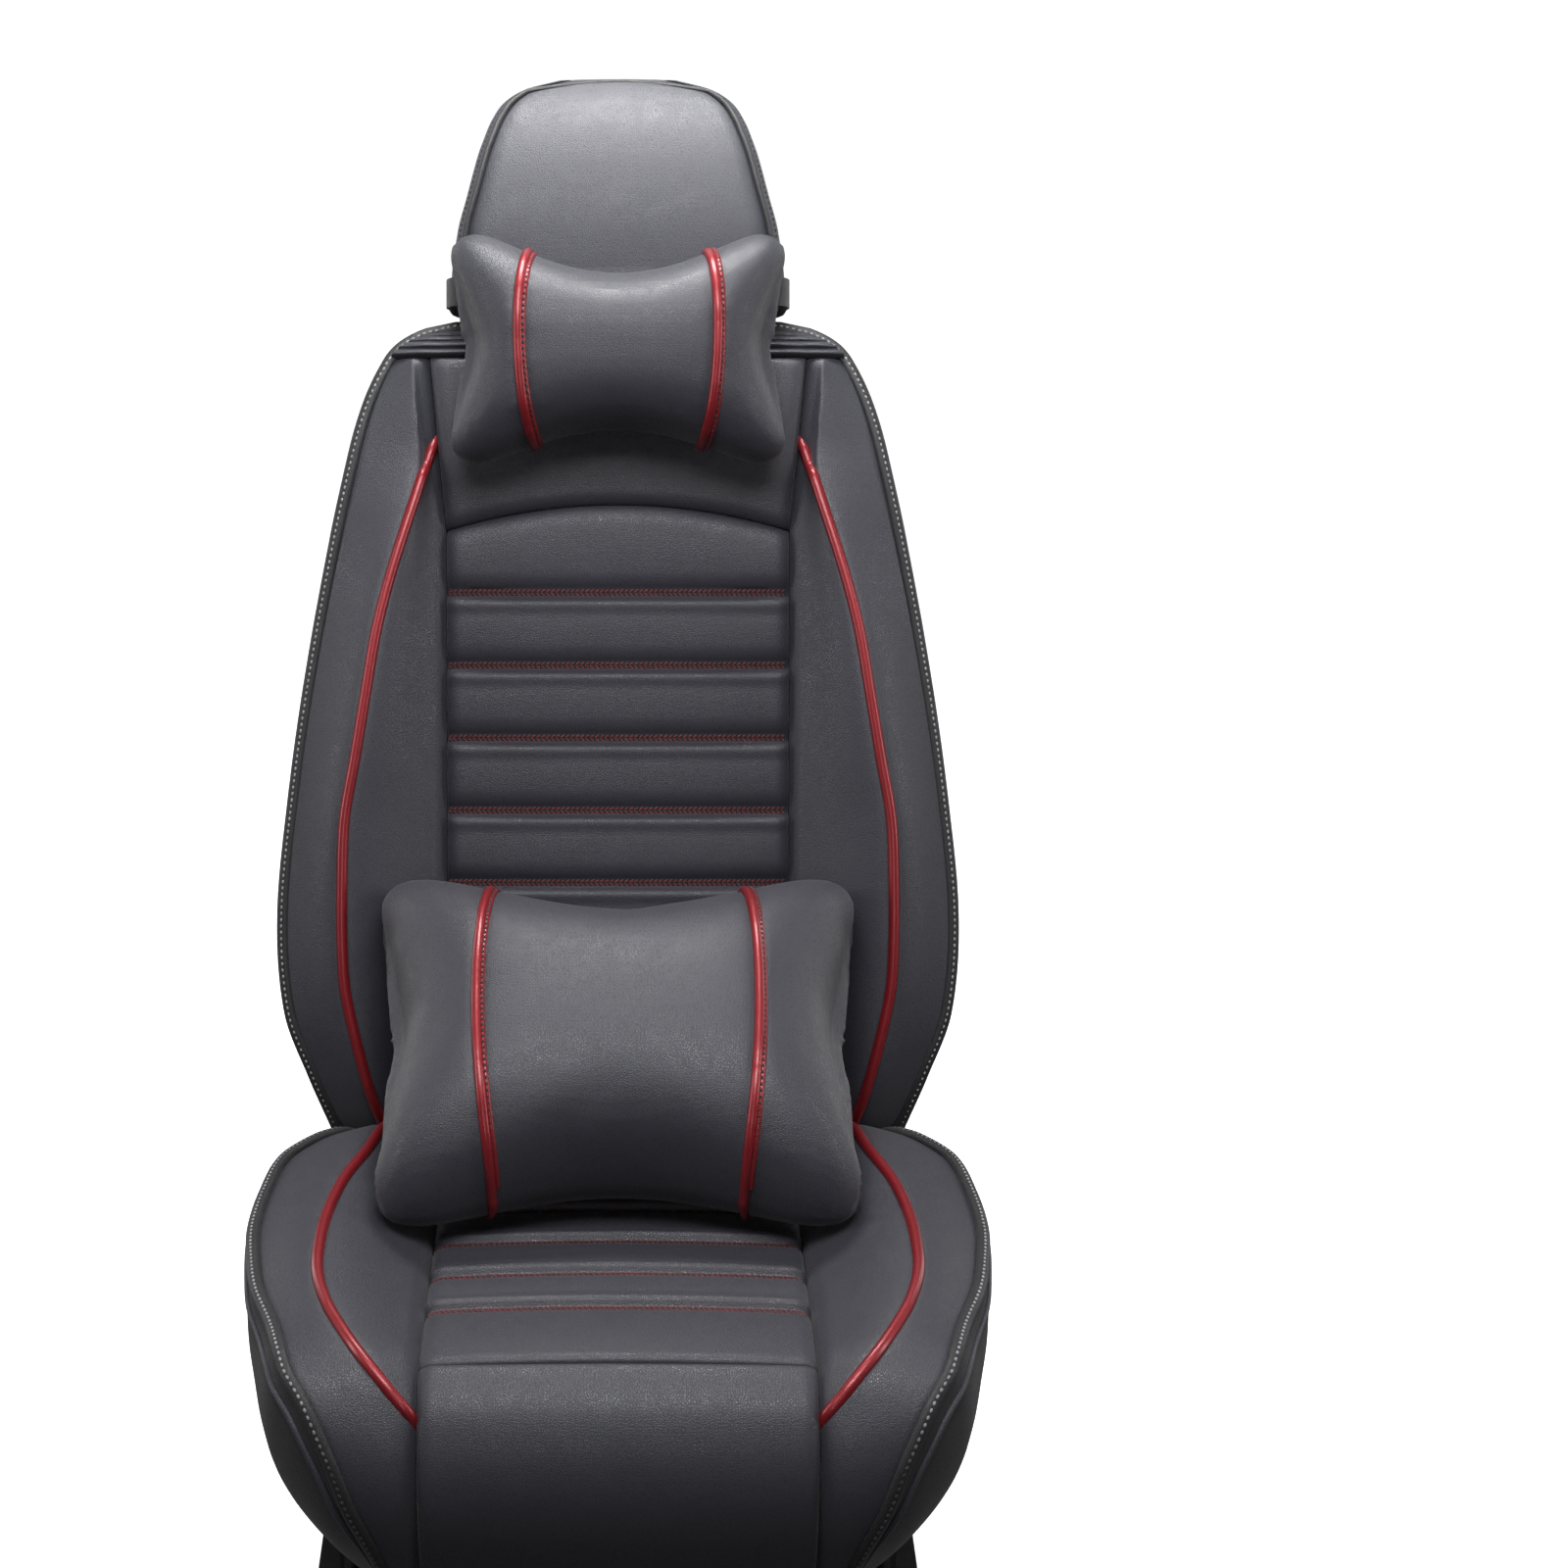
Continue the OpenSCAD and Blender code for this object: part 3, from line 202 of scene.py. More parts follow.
HEAD_REAR = [(0, 8), (16, -12), (50, -16), (110, -12), (150, -4), (178, 8), (192, 24)]
LUMBAR_FOOT, LUMBAR_HEAD, LUMBAR_SAG = Vector((-114, 324.8)), Vector((167, 478.8)), 12.0


class SeatSizes(bpy.types.PropertyGroup):
    """Sizes that a maker of the cover would change."""
    centre_w: bpy.props.FloatProperty(
        name="Centre panel", description="Half the width of the stitched centre panels",
        default=0.133, unit="LENGTH")
    piping_r: bpy.props.FloatProperty(
        name="Red piping", description="Radius of the red pipings", default=0.0043, unit="LENGTH")
    edge_r: bpy.props.FloatProperty(
        name="Edge piping", description="Radius of the black edge pipings", default=0.0032, unit="LENGTH")
    seam_r: bpy.props.FloatProperty(
        name="Roll at seams", description="Width over which a stuffed panel rolls down to its seam",
        default=0.011, unit="LENGTH")
    seam_d: bpy.props.FloatProperty(
        name="Depth of seams", description="Depth of a seam below the panels beside it",
        default=0.0065, unit="LENGTH")
    back_pitch: bpy.props.FloatProperty(
        name="Row pitch, backrest", description="Distance between two stitched rows of the backrest",
        default=0.0563, unit="LENGTH")
    seat_pitch: bpy.props.FloatProperty(
        name="Row pitch, cushion", description="Distance between two stitched rows of the cushion",
        default=0.054, unit="LENGTH")
    stitch_len: bpy.props.FloatProperty(
        name="Stitch pitch", description="Distance between two stitches of the double rows",
        default=0.0038, unit="LENGTH")


class SeatColours(bpy.types.PropertyGroup):
    """Colours of the cover."""
    leather: bpy.props.FloatVectorProperty(
        name="Leather", description="Charcoal of the imitation leather", subtype="COLOR", size=3,
        default=(0.030, 0.030, 0.040), min=0.0, max=1.0)
    side: bpy.props.FloatVectorProperty(
        name="Side leather", description="Darker leather of the sides and skirts", subtype="COLOR", size=3,
        default=(0.016, 0.016, 0.018), min=0.0, max=1.0)
    red: bpy.props.FloatVectorProperty(
        name="Red piping", description="Red of the pipings", subtype="COLOR", size=3,
        default=(0.27, 0.008, 0.014), min=0.0, max=1.0)
    thread: bpy.props.FloatVectorProperty(
        name="Red thread", description="Thread of the double rows", subtype="COLOR", size=3,
        default=(0.17, 0.016, 0.021), min=0.0, max=1.0)
    pale_thread: bpy.props.FloatVectorProperty(
        name="Pale thread", description="Thread on the edge pipings", subtype="COLOR", size=3,
        default=(0.36, 0.36, 0.38), min=0.0, max=1.0)


def sizes():
    return bpy.context.scene.seat_sizes


def colours():
    return bpy.context.scene.seat_colours


def mm(name):
    return getattr(sizes(), name) / MM


def seat_line(v):
    """Y and Z of the cushion's middle line at station v."""
    return curve(v, SEAT_LINE)


def on_seat(x, v, h):
    """World place of a point h above the cushion's line at station v."""
    p = seat_line(v)
    d = seat_line(v + 2) - seat_line(v - 2)
    d.normalize()
    return Vector((x, p.x + h * d.y, p.y - h * d.x)) * MM


def seat_up(v):
    """Way out of the cushion at station v."""
    return (on_seat(0, v, 5) - on_seat(0, v, 0)).normalized()


def seat_under(v):
    """Y and Z of the underside of the cushion's foam at station v."""
    u = curve(v, SEAT_UNDER)
    return (seat_line(v).x if v < NOSE - 45 else u.x), u.y


def seat_edge_x(v):
    return curve(v, SEAT_EDGE_X)


def seat_crest_x(v):
    return min(max(curve(v, SEAT_CREST_X), mm("centre_w") + 20), seat_edge_x(v) - 7)


def red_seam_x(v):
    """Line of the red piping over a cushion bolster, which ends on the centre seam."""
    return max(curve(v, SEAT_CREST_X), mm("centre_w") + 2)


def seat_bolster_h(x, v):
    """Height of a cushion bolster over the cushion's line, from its seam over its crest to its edge."""
    cw = mm("centre_w")
    ch = curve(v, SEAT_CREST_H)
    return curve(x, [(cw, -2), (cw + 10, 0.14 * ch + 0.5), (seat_crest_x(v), max(ch, 2)),
                     (seat_edge_x(v) - 1, curve(v, SEAT_EDGE_H))])


def seat_edge(v):
    return on_seat(seat_edge_x(v), v, curve(v, SEAT_EDGE_H))


def back_edge_x(s):
    return curve(s, BACK_EDGE_X)


def back_edge_n(s):
    return curve(s, BACK_EDGE_N)


def seam_x(s):
    """Seam between the backrest's centre and a bolster, which spreads towards the top."""
    return mm("centre_w") + 13 * max(0.0, (s - 480) / 136)


def back_crest_x(s):
    return min(max(curve(s, BACK_CREST_X), seam_x(s) + 14), back_edge_x(s) - 8)


def back_red_x(s):
    """Line of the red piping over a back bolster, which runs out into the centre seam at its top."""
    return curve(s, BACK_RED_X)


def back_bolster_h(x, s):
    """How far a back bolster stands out of the centre panel's face, from its seam to its edge."""
    a, ch = seam_x(s), curve(s, BACK_CREST_H)
    return curve(x, [(a, -2), (a + 10, 0.16 * ch), (back_crest_x(s), ch),
                     (back_edge_x(s) - 1, back_edge_n(s) - FACE_N)])


def panel_half():
    """Half width of a centre panel, clear of the bolsters beside it."""
    return mm("centre_w") - GAP


def crown(x):
    """How far a centre panel bulges, most on its middle line."""
    u = min(abs(x) / mm("centre_w"), 1)
    return 4 * (1 - u * u)


def arch_s(x):
    """Height of the arched seam over the top row of the backrest."""
    return TOP_ROW + 48 + 20 * (1 - (x / mm("centre_w"))**2)


def bolster_rear(s):
    """Rear face of a back bolster, which clears the recliner below."""
    return max(FOAM_N, math.sqrt(max(0.0, RECLINER_CLEAR**2 - s * s)))


def pillow_side(u, v, p):
    """Place on a pillow's outline, whose sides pull in between its rounded corners."""
    dip = p["dip_top"] if v > 0 else p["dip_bottom"]
    return (u * (p["w"] / 2 - p["waist"] * (1 - v * v)**2 - 13 * u * u * abs(v)**9) * (1 + p["taper"] * v),
            v * (p["h"] / 2 - dip * (1 - u * u)**2 - 11 * v * v * abs(u)**12))


# ---------------------------------------------------------------- meshes

def placed(name, data):
    """A new object with that data, in the scene."""
    piece = bpy.data.objects.new(name, data)
    bpy.context.collection.objects.link(piece)
    return piece


def pick(piece):
    """Make the piece the only one that Blender's tools work on."""
    bpy.ops.object.select_all(action="DESELECT")
    piece.select_set(True)
    bpy.context.view_layer.objects.active = piece


def solid(name, verts, faces, skin, body):
    """A closed mesh with its faces turned outwards, in the finish skin, ridden on a body of the frame."""
    mesh = bpy.data.meshes.new(name)
    mesh.from_pydata([tuple(v) for v in verts], [], faces)
    bm = bmesh.new()
    bm.from_mesh(mesh)
    bmesh.ops.remove_doubles(bm, verts=bm.verts, dist=1e-6)
    bmesh.ops.recalc_face_normals(bm, faces=bm.faces)
    bm.to_mesh(mesh)
    bm.free()
    mesh.validate()
    piece = placed(name, mesh)
    mesh.materials.append(finish(skin))
    pick(piece)
    bpy.ops.object.shade_smooth_by_angle(angle=math.radians(50))
    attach(piece, body)
    return piece


def panel(name, grid, walls, body):
    """A stuffed leather panel: its face as rows of points, and a function for the foot of each rim point."""
    m, n = len(grid), len(grid[0])
    verts = [p for row in grid for p in row]
    faces = [(i * n + j, (i + 1) * n + j, (i + 1) * n + j + 1, i * n + j + 1)
             for i in range(m - 1) for j in range(n - 1)]
    rim = ([(0, j) for j in range(n)] + [(i, n - 1) for i in range(1, m)]
           + [(m - 1, j) for j in range(n - 2, -1, -1)] + [(i, 0) for i in range(m - 2, 0, -1)])
    base = len(verts)
    verts += [walls(i, j) for i, j in rim]
    k = len(rim)
    for a in range(k):
        b = (a + 1) % k
        faces.append((rim[a][0] * n + rim[a][1], rim[b][0] * n + rim[b][1], base + b, base + a))
    centre = sum((verts[base + a] for a in range(k)), Vector()) / k
    verts.append(centre)
    faces += [(base + a, base + (a + 1) % k, base + k) for a in range(k)]
    return solid(name, verts, faces, "leather", body)


def loft(name, rings, skin, body):
    """A solid swept through closed rings of points and capped at both ends."""
    m, k = len(rings), len(rings[0])
    verts = [p for r in rings for p in r]
    faces = []
    for i in range(m - 1):
        a, b = i * k, (i + 1) * k
        faces += [(a + j, b + j, b + (j + 1) % k, a + (j + 1) % k) for j in range(k)]
    for i in (0, m - 1):
        verts.append(sum(rings[i], Vector()) / k)
        faces += [(i * k + j, i * k + (j + 1) % k, len(verts) - 1) for j in range(k)]
    return solid(name, verts, faces, skin, body)


def direction(path, i):
    """Way along a path at its point i."""
    return (path[min(i + 1, len(path) - 1)] - path[max(i - 1, 0)]).normalized()


def tube(name, path, r, skin, body, ups, sides=12, flat=1.0, squeeze=1.0):
    """A piping along a path; ups gives the way out of the cover at each point."""
    rings = []
    for i, (p, up) in enumerate(zip(path, ups)):
        d = direction(path, i)
        side = d.cross(up).normalized()
        top = side.cross(d).normalized()
        rings.append([p + MM * r * (squeeze * math.cos(math.tau * j / sides) * side
                                    + flat * math.sin(math.tau * j / sides) * top)
                      for j in range(sides)])
    return loft(name, rings, skin, body)


def even(path, step):
    """Points a step apart along a path."""
    out = [path[0]]
    left = step
    for a, b in zip(path, path[1:]):
        length = (b - a).length
        at = 0.0
        while length - at >= left:
            at += left
            out.append(a.lerp(b, at / length))
            left = step
        left -= length - at
    return out


# ---------------------------------------------------------------- materials

def mix(nt, kind, fac, a, b):
    """Mix of two colours or numbers, each a value or a socket."""
    node = nt.nodes.new("ShaderNodeMix")
    node.data_type = kind
    ins = [s for s in node.inputs if s.enabled]
    for sock, value in zip(ins, (fac, a, b)):
        if isinstance(value, bpy.types.NodeSocket):
            nt.links.new(value, sock)
        else:
            sock.default_value = value
    return [s for s in node.outputs if s.enabled][0]


def start(name, rough, metallic=0.0, sheen=0.0, specular=0.5, coat=0.0):
    """A new material with its node tree, its surface and the object coordinates."""
    mat = bpy.data.materials.new(name)
    mat.use_nodes = True
    nt = mat.node_tree
    bsdf = nt.nodes["Principled BSDF"]
    bsdf.inputs["Roughness"].default_value = rough
    bsdf.inputs["Metallic"].default_value = metallic
    bsdf.inputs["Sheen Weight"].default_value = sheen
    bsdf.inputs["Sheen Roughness"].default_value = 0.45
    bsdf.inputs["Specular IOR Level"].default_value = specular
    bsdf.inputs["Coat Weight"].default_value = coat
    bsdf.inputs["Coat Roughness"].default_value = 0.22
    coords = nt.nodes.new("ShaderNodeTexCoord")
    return mat, nt, bsdf, coords.outputs["Object"]


def shade(colour, k=1.0):
    """A colour made k times as bright, with full opacity."""
    return (*[min(1.0, c * k) for c in colour], 1.0)


def wire(nt, bsdf, tone, rough, normal):
    """Lead colour, roughness and normal into the surface."""
    nt.links.new(tone, bsdf.inputs["Base Color"])
    nt.links.new(rough, bsdf.inputs["Roughness"])
    nt.links.new(normal, bsdf.inputs["Normal"])


def noise(nt, at, scale, detail=3.0, rough=0.55, stretch=None):
    """Cloudy noise at a place, stretched along the axes where wanted."""
    if stretch:
        turn = nt.nodes.new("ShaderNodeMapping")
        turn.inputs["Scale"].default_value = stretch
        nt.links.new(at, turn.inputs["Vector"])
        at = turn.outputs["Vector"]
    node = nt.nodes.new("ShaderNodeTexNoise")
    node.inputs["Scale"].default_value = scale
    node.inputs["Detail"].default_value = detail
    node.inputs["Roughness"].default_value = rough
    nt.links.new(at, node.inputs["Vector"])
    return node.outputs["Fac"]


def grade(nt, value, low, high, start_at=0.35, end_at=0.65):
    """A value spread from low to high while it runs from start_at to end_at."""
    node = nt.nodes.new("ShaderNodeMapRange")
    node.inputs["From Min"].default_value = start_at
    node.inputs["From Max"].default_value = end_at
    node.inputs["To Min"].default_value = low
    node.inputs["To Max"].default_value = high
    nt.links.new(value, node.inputs["Value"])
    return node.outputs["Result"]


def bump(nt, height, distance, strength, under=None):
    """Relief of a height, laid over another relief where wanted."""
    node = nt.nodes.new("ShaderNodeBump")
    node.inputs["Distance"].default_value = distance
    node.inputs["Strength"].default_value = strength
    nt.links.new(height, node.inputs["Height"])
    if under:
        nt.links.new(under, node.inputs["Normal"])
    return node.outputs["Normal"]


def leather(name, colour, rough, grain=620.0, depth=0.35, sheen=0.1, pale=1.12, coat=0.0, metallic=0.0):
    """Imitation leather: pebbled grain with pale crests, fine creases and worn gloss."""
    mat, nt, bsdf, at = start(name, rough, metallic, sheen, 0.6, coat)
    warp = noise(nt, at, 90.0, 2.0)
    cells = nt.nodes.new("ShaderNodeTexVoronoi")
    cells.feature = "DISTANCE_TO_EDGE"
    cells.inputs["Scale"].default_value = grain
    cells.inputs["Randomness"].default_value = 0.9
    nt.links.new(at, cells.inputs["Vector"])
    pebble = grade(nt, cells.outputs["Distance"], 0.0, 1.0, 0.02, 0.22)
    cloud = noise(nt, at, 7.0, 4.0)
    fine = noise(nt, at, 1500.0, 2.0)
    tone = mix(nt, "RGBA", grade(nt, cloud, 0.0, 1.0, 0.3, 0.7), shade(colour), shade(colour, pale))
    tone = mix(nt, "RGBA", grade(nt, pebble, 1.0, 0.0, 0.0, 0.8), tone, shade(colour, 0.72))
    shine = mix(nt, "FLOAT", grade(nt, warp, 0.0, 1.0), rough - 0.05, rough + 0.07)
    shine = mix(nt, "FLOAT", pebble, min(rough + 0.2, 1.0), shine)
    creases = noise(nt, at, 38.0, 5.0, 0.62)
    normal = bump(nt, creases, 0.003, 0.08)
    normal = bump(nt, pebble, 0.00035, depth, normal)
    normal = bump(nt, fine, 0.0002, 0.2, normal)
    wire(nt, bsdf, tone, shine, normal)
    return mat


def woven(name, colour, rough, threads, depth=0.5, sheen=0.3, hem=1.0):
    """Woven elastic or twisted thread; hem is how dark the painted shade makes it towards the foot of the
    seat, where the light falls off.
    """
    mat, nt, bsdf, at = start(name, rough, sheen=sheen, specular=0.3)
    waves = []
    for direction in ("X", "Z"):
        wave = nt.nodes.new("ShaderNodeTexWave")
        wave.bands_direction = direction
        wave.inputs["Scale"].default_value = threads
        wave.inputs["Distortion"].default_value = 0.6
        nt.links.new(at, wave.inputs["Vector"])
        waves.append(wave.outputs["Fac"])
    weave = mix(nt, "FLOAT", 0.5, waves[0], waves[1])
    cloud = noise(nt, at, 60.0)
    tone = mix(nt, "RGBA", weave, shade(colour, 0.55), shade(colour))
    tone = mix(nt, "RGBA", grade(nt, cloud, 0.0, 0.35), tone, shade(colour, 1.5))
    # Painted shade: below a set height the thread's colour is mixed darker, standing in for the light falling
    # off towards the foot of the seat.
    if hem < 1:
        height = nt.nodes.new("ShaderNodeSeparateXYZ")
        nt.links.new(at, height.inputs["Vector"])
        painted_shade = grade(nt, height.outputs["Z"], 1.0, 0.0, 0.265, 0.305)
        tone = mix(nt, "RGBA", painted_shade, tone, shade(colour, hem))
    shine = grade(nt, weave, rough + 0.08, rough - 0.08, 0.0, 1.0)
    wire(nt, bsdf, tone, shine, bump(nt, weave, 0.0004, depth))
    return mat


def moulded(name, colour, rough):
    """Moulded plastic with a fine spark-eroded texture."""
    mat, nt, bsdf, at = start(name, rough, specular=0.45)
    spark = noise(nt, at, 900.0, 2.0)
    cloud = noise(nt, at, 12.0, 4.0)
    tone = mix(nt, "RGBA", grade(nt, cloud, 0.0, 1.0), shade(colour), shade(colour, 1.35))
    wire(nt, bsdf, tone, grade(nt, spark, rough - 0.06, rough + 0.1), bump(nt, spark, 0.0003, 0.35))
    return mat


def plated(name, colour, rough):
    """Zinc plated or drawn steel with faint drawing lines and cloudy passivation."""
    mat, nt, bsdf, at = start(name, rough, metallic=1.0)
    lines = noise(nt, at, 260.0, 3.0, 0.6, (1.0, 12.0, 1.0))
    cloud = noise(nt, at, 26.0, 4.0)
    tone = mix(nt, "RGBA", grade(nt, cloud, 0.0, 1.0), shade(colour), shade(colour, 0.8))
    wire(nt, bsdf, tone, grade(nt, lines, rough - 0.08, rough + 0.12), bump(nt, lines, 0.0002, 0.25))
    return mat


def enamelled(name, colour, rough):
    """Black powder coat with orange peel, rubbed paler at random."""
    mat, nt, bsdf, at = start(name, rough, specular=0.5)
    peel = noise(nt, at, 420.0, 2.0)
    rub = noise(nt, at, 30.0, 5.0, 0.7)
    tone = mix(nt, "RGBA", grade(nt, rub, 0.0, 1.0, 0.5, 0.8), shade(colour), shade(colour, 2.2))
    wire(nt, bsdf, tone, grade(nt, rub, rough - 0.05, rough + 0.15), bump(nt, peel, 0.0004, 0.3))
    return mat


FINISHES = {}


def finish(name):
    """The finish of that name, made when it is first asked for."""
    if name not in FINISHES:
        c = colours()
        FINISHES[name] = {
            "leather": lambda: leather("cover_leather", c.leather, 0.38),
            "leather_side": lambda: leather("side_leather", c.side, 0.4, depth=0.3, pale=1.25),
            "piping_red": lambda: leather("red_piping_leather", c.red, 0.36, 900.0, depth=0.12, sheen=0.0,
                                          pale=1.1, coat=0.5, metallic=0.45),
            "piping_black": lambda: leather("edge_piping_leather", [k * 0.45 for k in c.side], 0.42, 900.0),
            "thread_red": lambda: woven("red_thread", c.thread, 0.55, 900.0),
            # The pale thread gets painted shade towards the foot of the seat, where the light falls off.
            "thread_edge": lambda: woven("pale_thread", c.pale_thread, 0.55, 900.0, hem=0.06),
            "thread_dark": lambda: woven("dark_thread", (0.012, 0.011, 0.012), 0.6, 900.0),
            "elastic": lambda: woven("elastic_webbing", (0.03, 0.03, 0.032), 0.7, 420.0, 0.7),
            "plastic": lambda: moulded("moulded_black", (0.022, 0.022, 0.024), 0.42),
            "zinc_steel": lambda: plated("zinc_plated_steel", (0.62, 0.63, 0.65), 0.34),
            "dark_zinc": lambda: plated("dark_zinc_plated_steel", (0.10, 0.10, 0.105), 0.4),
            "black_steel": lambda: enamelled("black_enamelled_steel", (0.022, 0.022, 0.024), 0.4),
        }[name]()
    return FINISHES[name]


# ---------------------------------------------------------------- shared forms

def row_roll(d):
    """Height at distance d from a sewn row, where d is positive towards the panel with the raised edge."""
    if abs(d) < ROW_HALF:
        return -ROW_DEPTH
    if d < 0:
        return lip(-d - ROW_HALF, 14.0, 4.8)
    rise = (d - ROW_HALF) / RIDGE_RISE
    if rise < 1:
        return (ROW_DEPTH + RIDGE_H) * math.sin(rise * math.pi / 2) - ROW_DEPTH
    fall = held((d - ROW_HALF - RIDGE_RISE) / RIDGE_FALL)
    return RIDGE_H * (0.5 + 0.5 * math.cos(fall * math.pi))


def seam_roll(d):
    """Roll of a centre or side panel at distance d from the seam between them."""
    return lip(d, mm("seam_r"), mm("seam_d"))


def dive(t, end):
    """How deep a red piping lies in its bolster at t, sinking into the seam at its end."""
    return 0.6 + 8 * max(0.0, (t - end + DIVE) / DIVE)**2


def swell(t, depth):
    """Stuffing between two sewn rows, t from 0 to 1 between them."""
    return depth * (1 - (2 * held(t) - 1)**2)


def wrinkle(x, y, z, size, depth):
    """Small unevenness of stuffed leather."""
    p = Vector((x, y, z)) / size
    across = math.sin(1.7 * p.x + 2.3 * math.sin(0.9 * p.y))
    return 0.4 * depth * across * math.cos(1.3 * p.z + 1.9 * math.sin(0.7 * p.x))


def mirrored(points):
    """The points on the other side of the seat's middle."""
    return [Vector((-p.x, p.y, p.z)) for p in points]


def sides():
    """Right and left with the sign of their X."""
    return (("right", 1), ("left", -1))


def flip(points, sign):
    """The points on the right for 1, on the left for -1."""
    return points if sign > 0 else mirrored(points)


def one_stitch():
    """One stitch, a low oval of thread, modelled once and copied along every seam."""
    bpy.ops.object.select_all(action="DESELECT")
    bpy.ops.mesh.primitive_uv_sphere_add(segments=6, ring_count=5, radius=0.5, location=(0, 0, 0),
                                         rotation=(0, math.pi / 2, 0))
    stitch = bpy.context.active_object
    bpy.ops.object.transform_apply(location=True, rotation=True, scale=True)
    bpy.ops.object.mode_set(mode="EDIT")
    bpy.ops.mesh.select_all(action="SELECT")
    bpy.ops.transform.resize(value=(1.0, 1.0, 0.8))
    bpy.ops.object.mode_set(mode="OBJECT")
    verts = [v.co.copy() for v in stitch.data.vertices]
    faces = [tuple(p.vertices) for p in stitch.data.polygons]
    bpy.data.objects.remove(stitch)
    return verts, faces


def stitches(name, places, size, skin, body):
    """Copies of the stitch, each at (place, direction along the seam, way out, turn in degrees)."""
    shape, cut = one_stitch()
    length, width, height = (k * MM for k in size)
    verts, faces = [], []
    for place, along, up, turn in places:
        side = up.cross(along).normalized()
        along = side.cross(up).normalized()
        a = math.radians(turn)
        d = math.cos(a) * along + math.sin(a) * side
        w = up.cross(d)
        base = len(verts)
        verts += [place + d * (v.x * length) + w * (v.y * width) + up * (v.z * height) for v in shape]
        faces += [tuple(base + i for i in f) for f in cut]
    mesh = bpy.data.meshes.new(name)
    mesh.from_pydata([tuple(v) for v in verts], [], faces)
    mesh.polygons.foreach_set("use_smooth", [True] * len(mesh.polygons))
    mesh.materials.append(finish(skin))
    piece = placed(name, mesh)
    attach(piece, body)


def along(path, ups, step, lift=0.0):
    """Places of stitches a step apart on a path with its ways out."""
    out = []
    points = even(path, step * MM)
    k = 0
    for i, p in enumerate(points):
        while k < len(path) - 2 and (path[k + 1] - p).length < (path[k] - p).length:
            k += 1
        out.append((p + ups[k] * lift * MM, direction(points, i), ups[k], 0.0))
    return out


def herringbone(points, up, half=1.45):
    """Two rows of slanted stitches on either side of a sewn row."""
    out = []
    spots = even(points, sizes().stitch_len)
    for i, p in enumerate(spots):
        d = direction(spots, i)
        side = up.cross(d).normalized()
        for sign in (1, -1):
            out.append((p + side * sign * half * MM, d, up, 38.0 * sign))
    return out


def sewn_rows(name, paths, up, body):
    """Dark tape in the channel of each sewn row, with its herringbone of red thread."""
    places = []
    for k, path in enumerate(paths):
        tape = [p - up * 0.5 * MM for p in path]
        tube(f"{name}_row_tape_{k + 1}", tape, 1.0, "thread_dark", body, [up] * len(path),
             sides=8, flat=0.6, squeeze=3.3)
        places += herringbone(path, up)
    stitches(f"{name}_row_stitches", places, (3.9, 1.5, 1.5), "thread_red", body)


# ---------------------------------------------------------------- cushion

def seat_rows():
    """Places of the cushion's sewn rows, from the rear."""
    return [LAST_ROW_Y + i * mm("seat_pitch") for i in reversed(range(ROWS_SEAT))]


def seat_face(x, y):
    """Height of the cushion's centre panel."""
    half = panel_half()
    rows = seat_rows()
    base = SEAT_REAR_Z + (SEAT_REAR_Y + 1 - y) * SEAT_SLOPE + crown(x)
    near = min(rows, key=lambda r: abs(r - y))
    stops = [SEAT_TOP_Y] + rows + [-SEAT_FRONT_Y]
    for a, b in zip(stops, stops[1:]):
        if b <= y <= a:
            base += swell((a - y) / (a - b), 2.6)
    base += row_roll(y - near)
    base += seam_roll(half - abs(x))
    base += lip(y + SEAT_FRONT_Y, 7.0, 5.0) + lip(SEAT_TOP_Y - y, 16.0, 22.0)
    return base + wrinkle(x, y, 0, 21.0, 0.35)


class SEAT_OT_cushion_centre(bpy.types.Operator):
    """Stitched centre panel of the cushion"""
    bl_idname = "seat.cushion_centre"
    bl_label = "Cushion centre"

    def execute(self, context):
        half, rows = panel_half(), seat_rows()
        xs = eased(-half, half, 72, 0.75)
        stops = [SEAT_TOP_Y - 0.5]
        for row in rows:
            stops += [30, row]
        stops += [22, -SEAT_FRONT_Y + 0.4]
        ys = stations(*stops)
        grid = [[Vector((x, y, seat_face(x, y))) * MM for x in xs] for y in ys]

        def foot(i, j):
            return Vector((xs[j], ys[i], FOAM_Z + FOOT_GAP)) * MM

        piece = panel("cushion_centre", grid, foot, "seat_base")
        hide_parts("seat_centre_pad")
        ends = eased(3 - half, half - 3, 60, 0.5)
        paths = [[Vector((x, row, seat_face(x, row) + THREAD_LIFT)) * MM for x in ends] for row in rows]
        sewn_rows("cushion", paths, Vector((0, 0, 1)), "seat_base")
        return {"FINISHED"}


class SEAT_OT_cushion_front(bpy.types.Operator):
    """Rolled front panel of the cushion"""
    bl_idname = "seat.cushion_front"
    bl_label = "Cushion front"

    def execute(self, context):
        half = panel_half()
        xs = eased(-half, half, 56, 0.75)
        vs = stations(NOSE + 0.5, 60, NOSE + 189)

        def height(x, v):
            h = crown(x) / 2 + 1.5 + lip(v - NOSE, 6.0, 5.0) + lip(NOSE + 189 - v, 8.0, 3.0)
            return h + seam_roll(half - abs(x)) + wrinkle(x, v, 0, 26.0, 0.5)

        grid = [[on_seat(x, v, height(x, v)) for x in xs] for v in vs]

        def foot(i, j):
            low = on_seat(xs[j], vs[i], 0) / MM
            return Vector((xs[j], -SEAT_FRONT_Y - 0.4, max(SKIRT_Z + 1, min(low.z, SEAT_FRONT_Z - 16)))) * MM

        piece = panel("cushion_front", grid, foot, "seat_base")
        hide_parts("seat_front_pad")
        return {"FINISHED"}


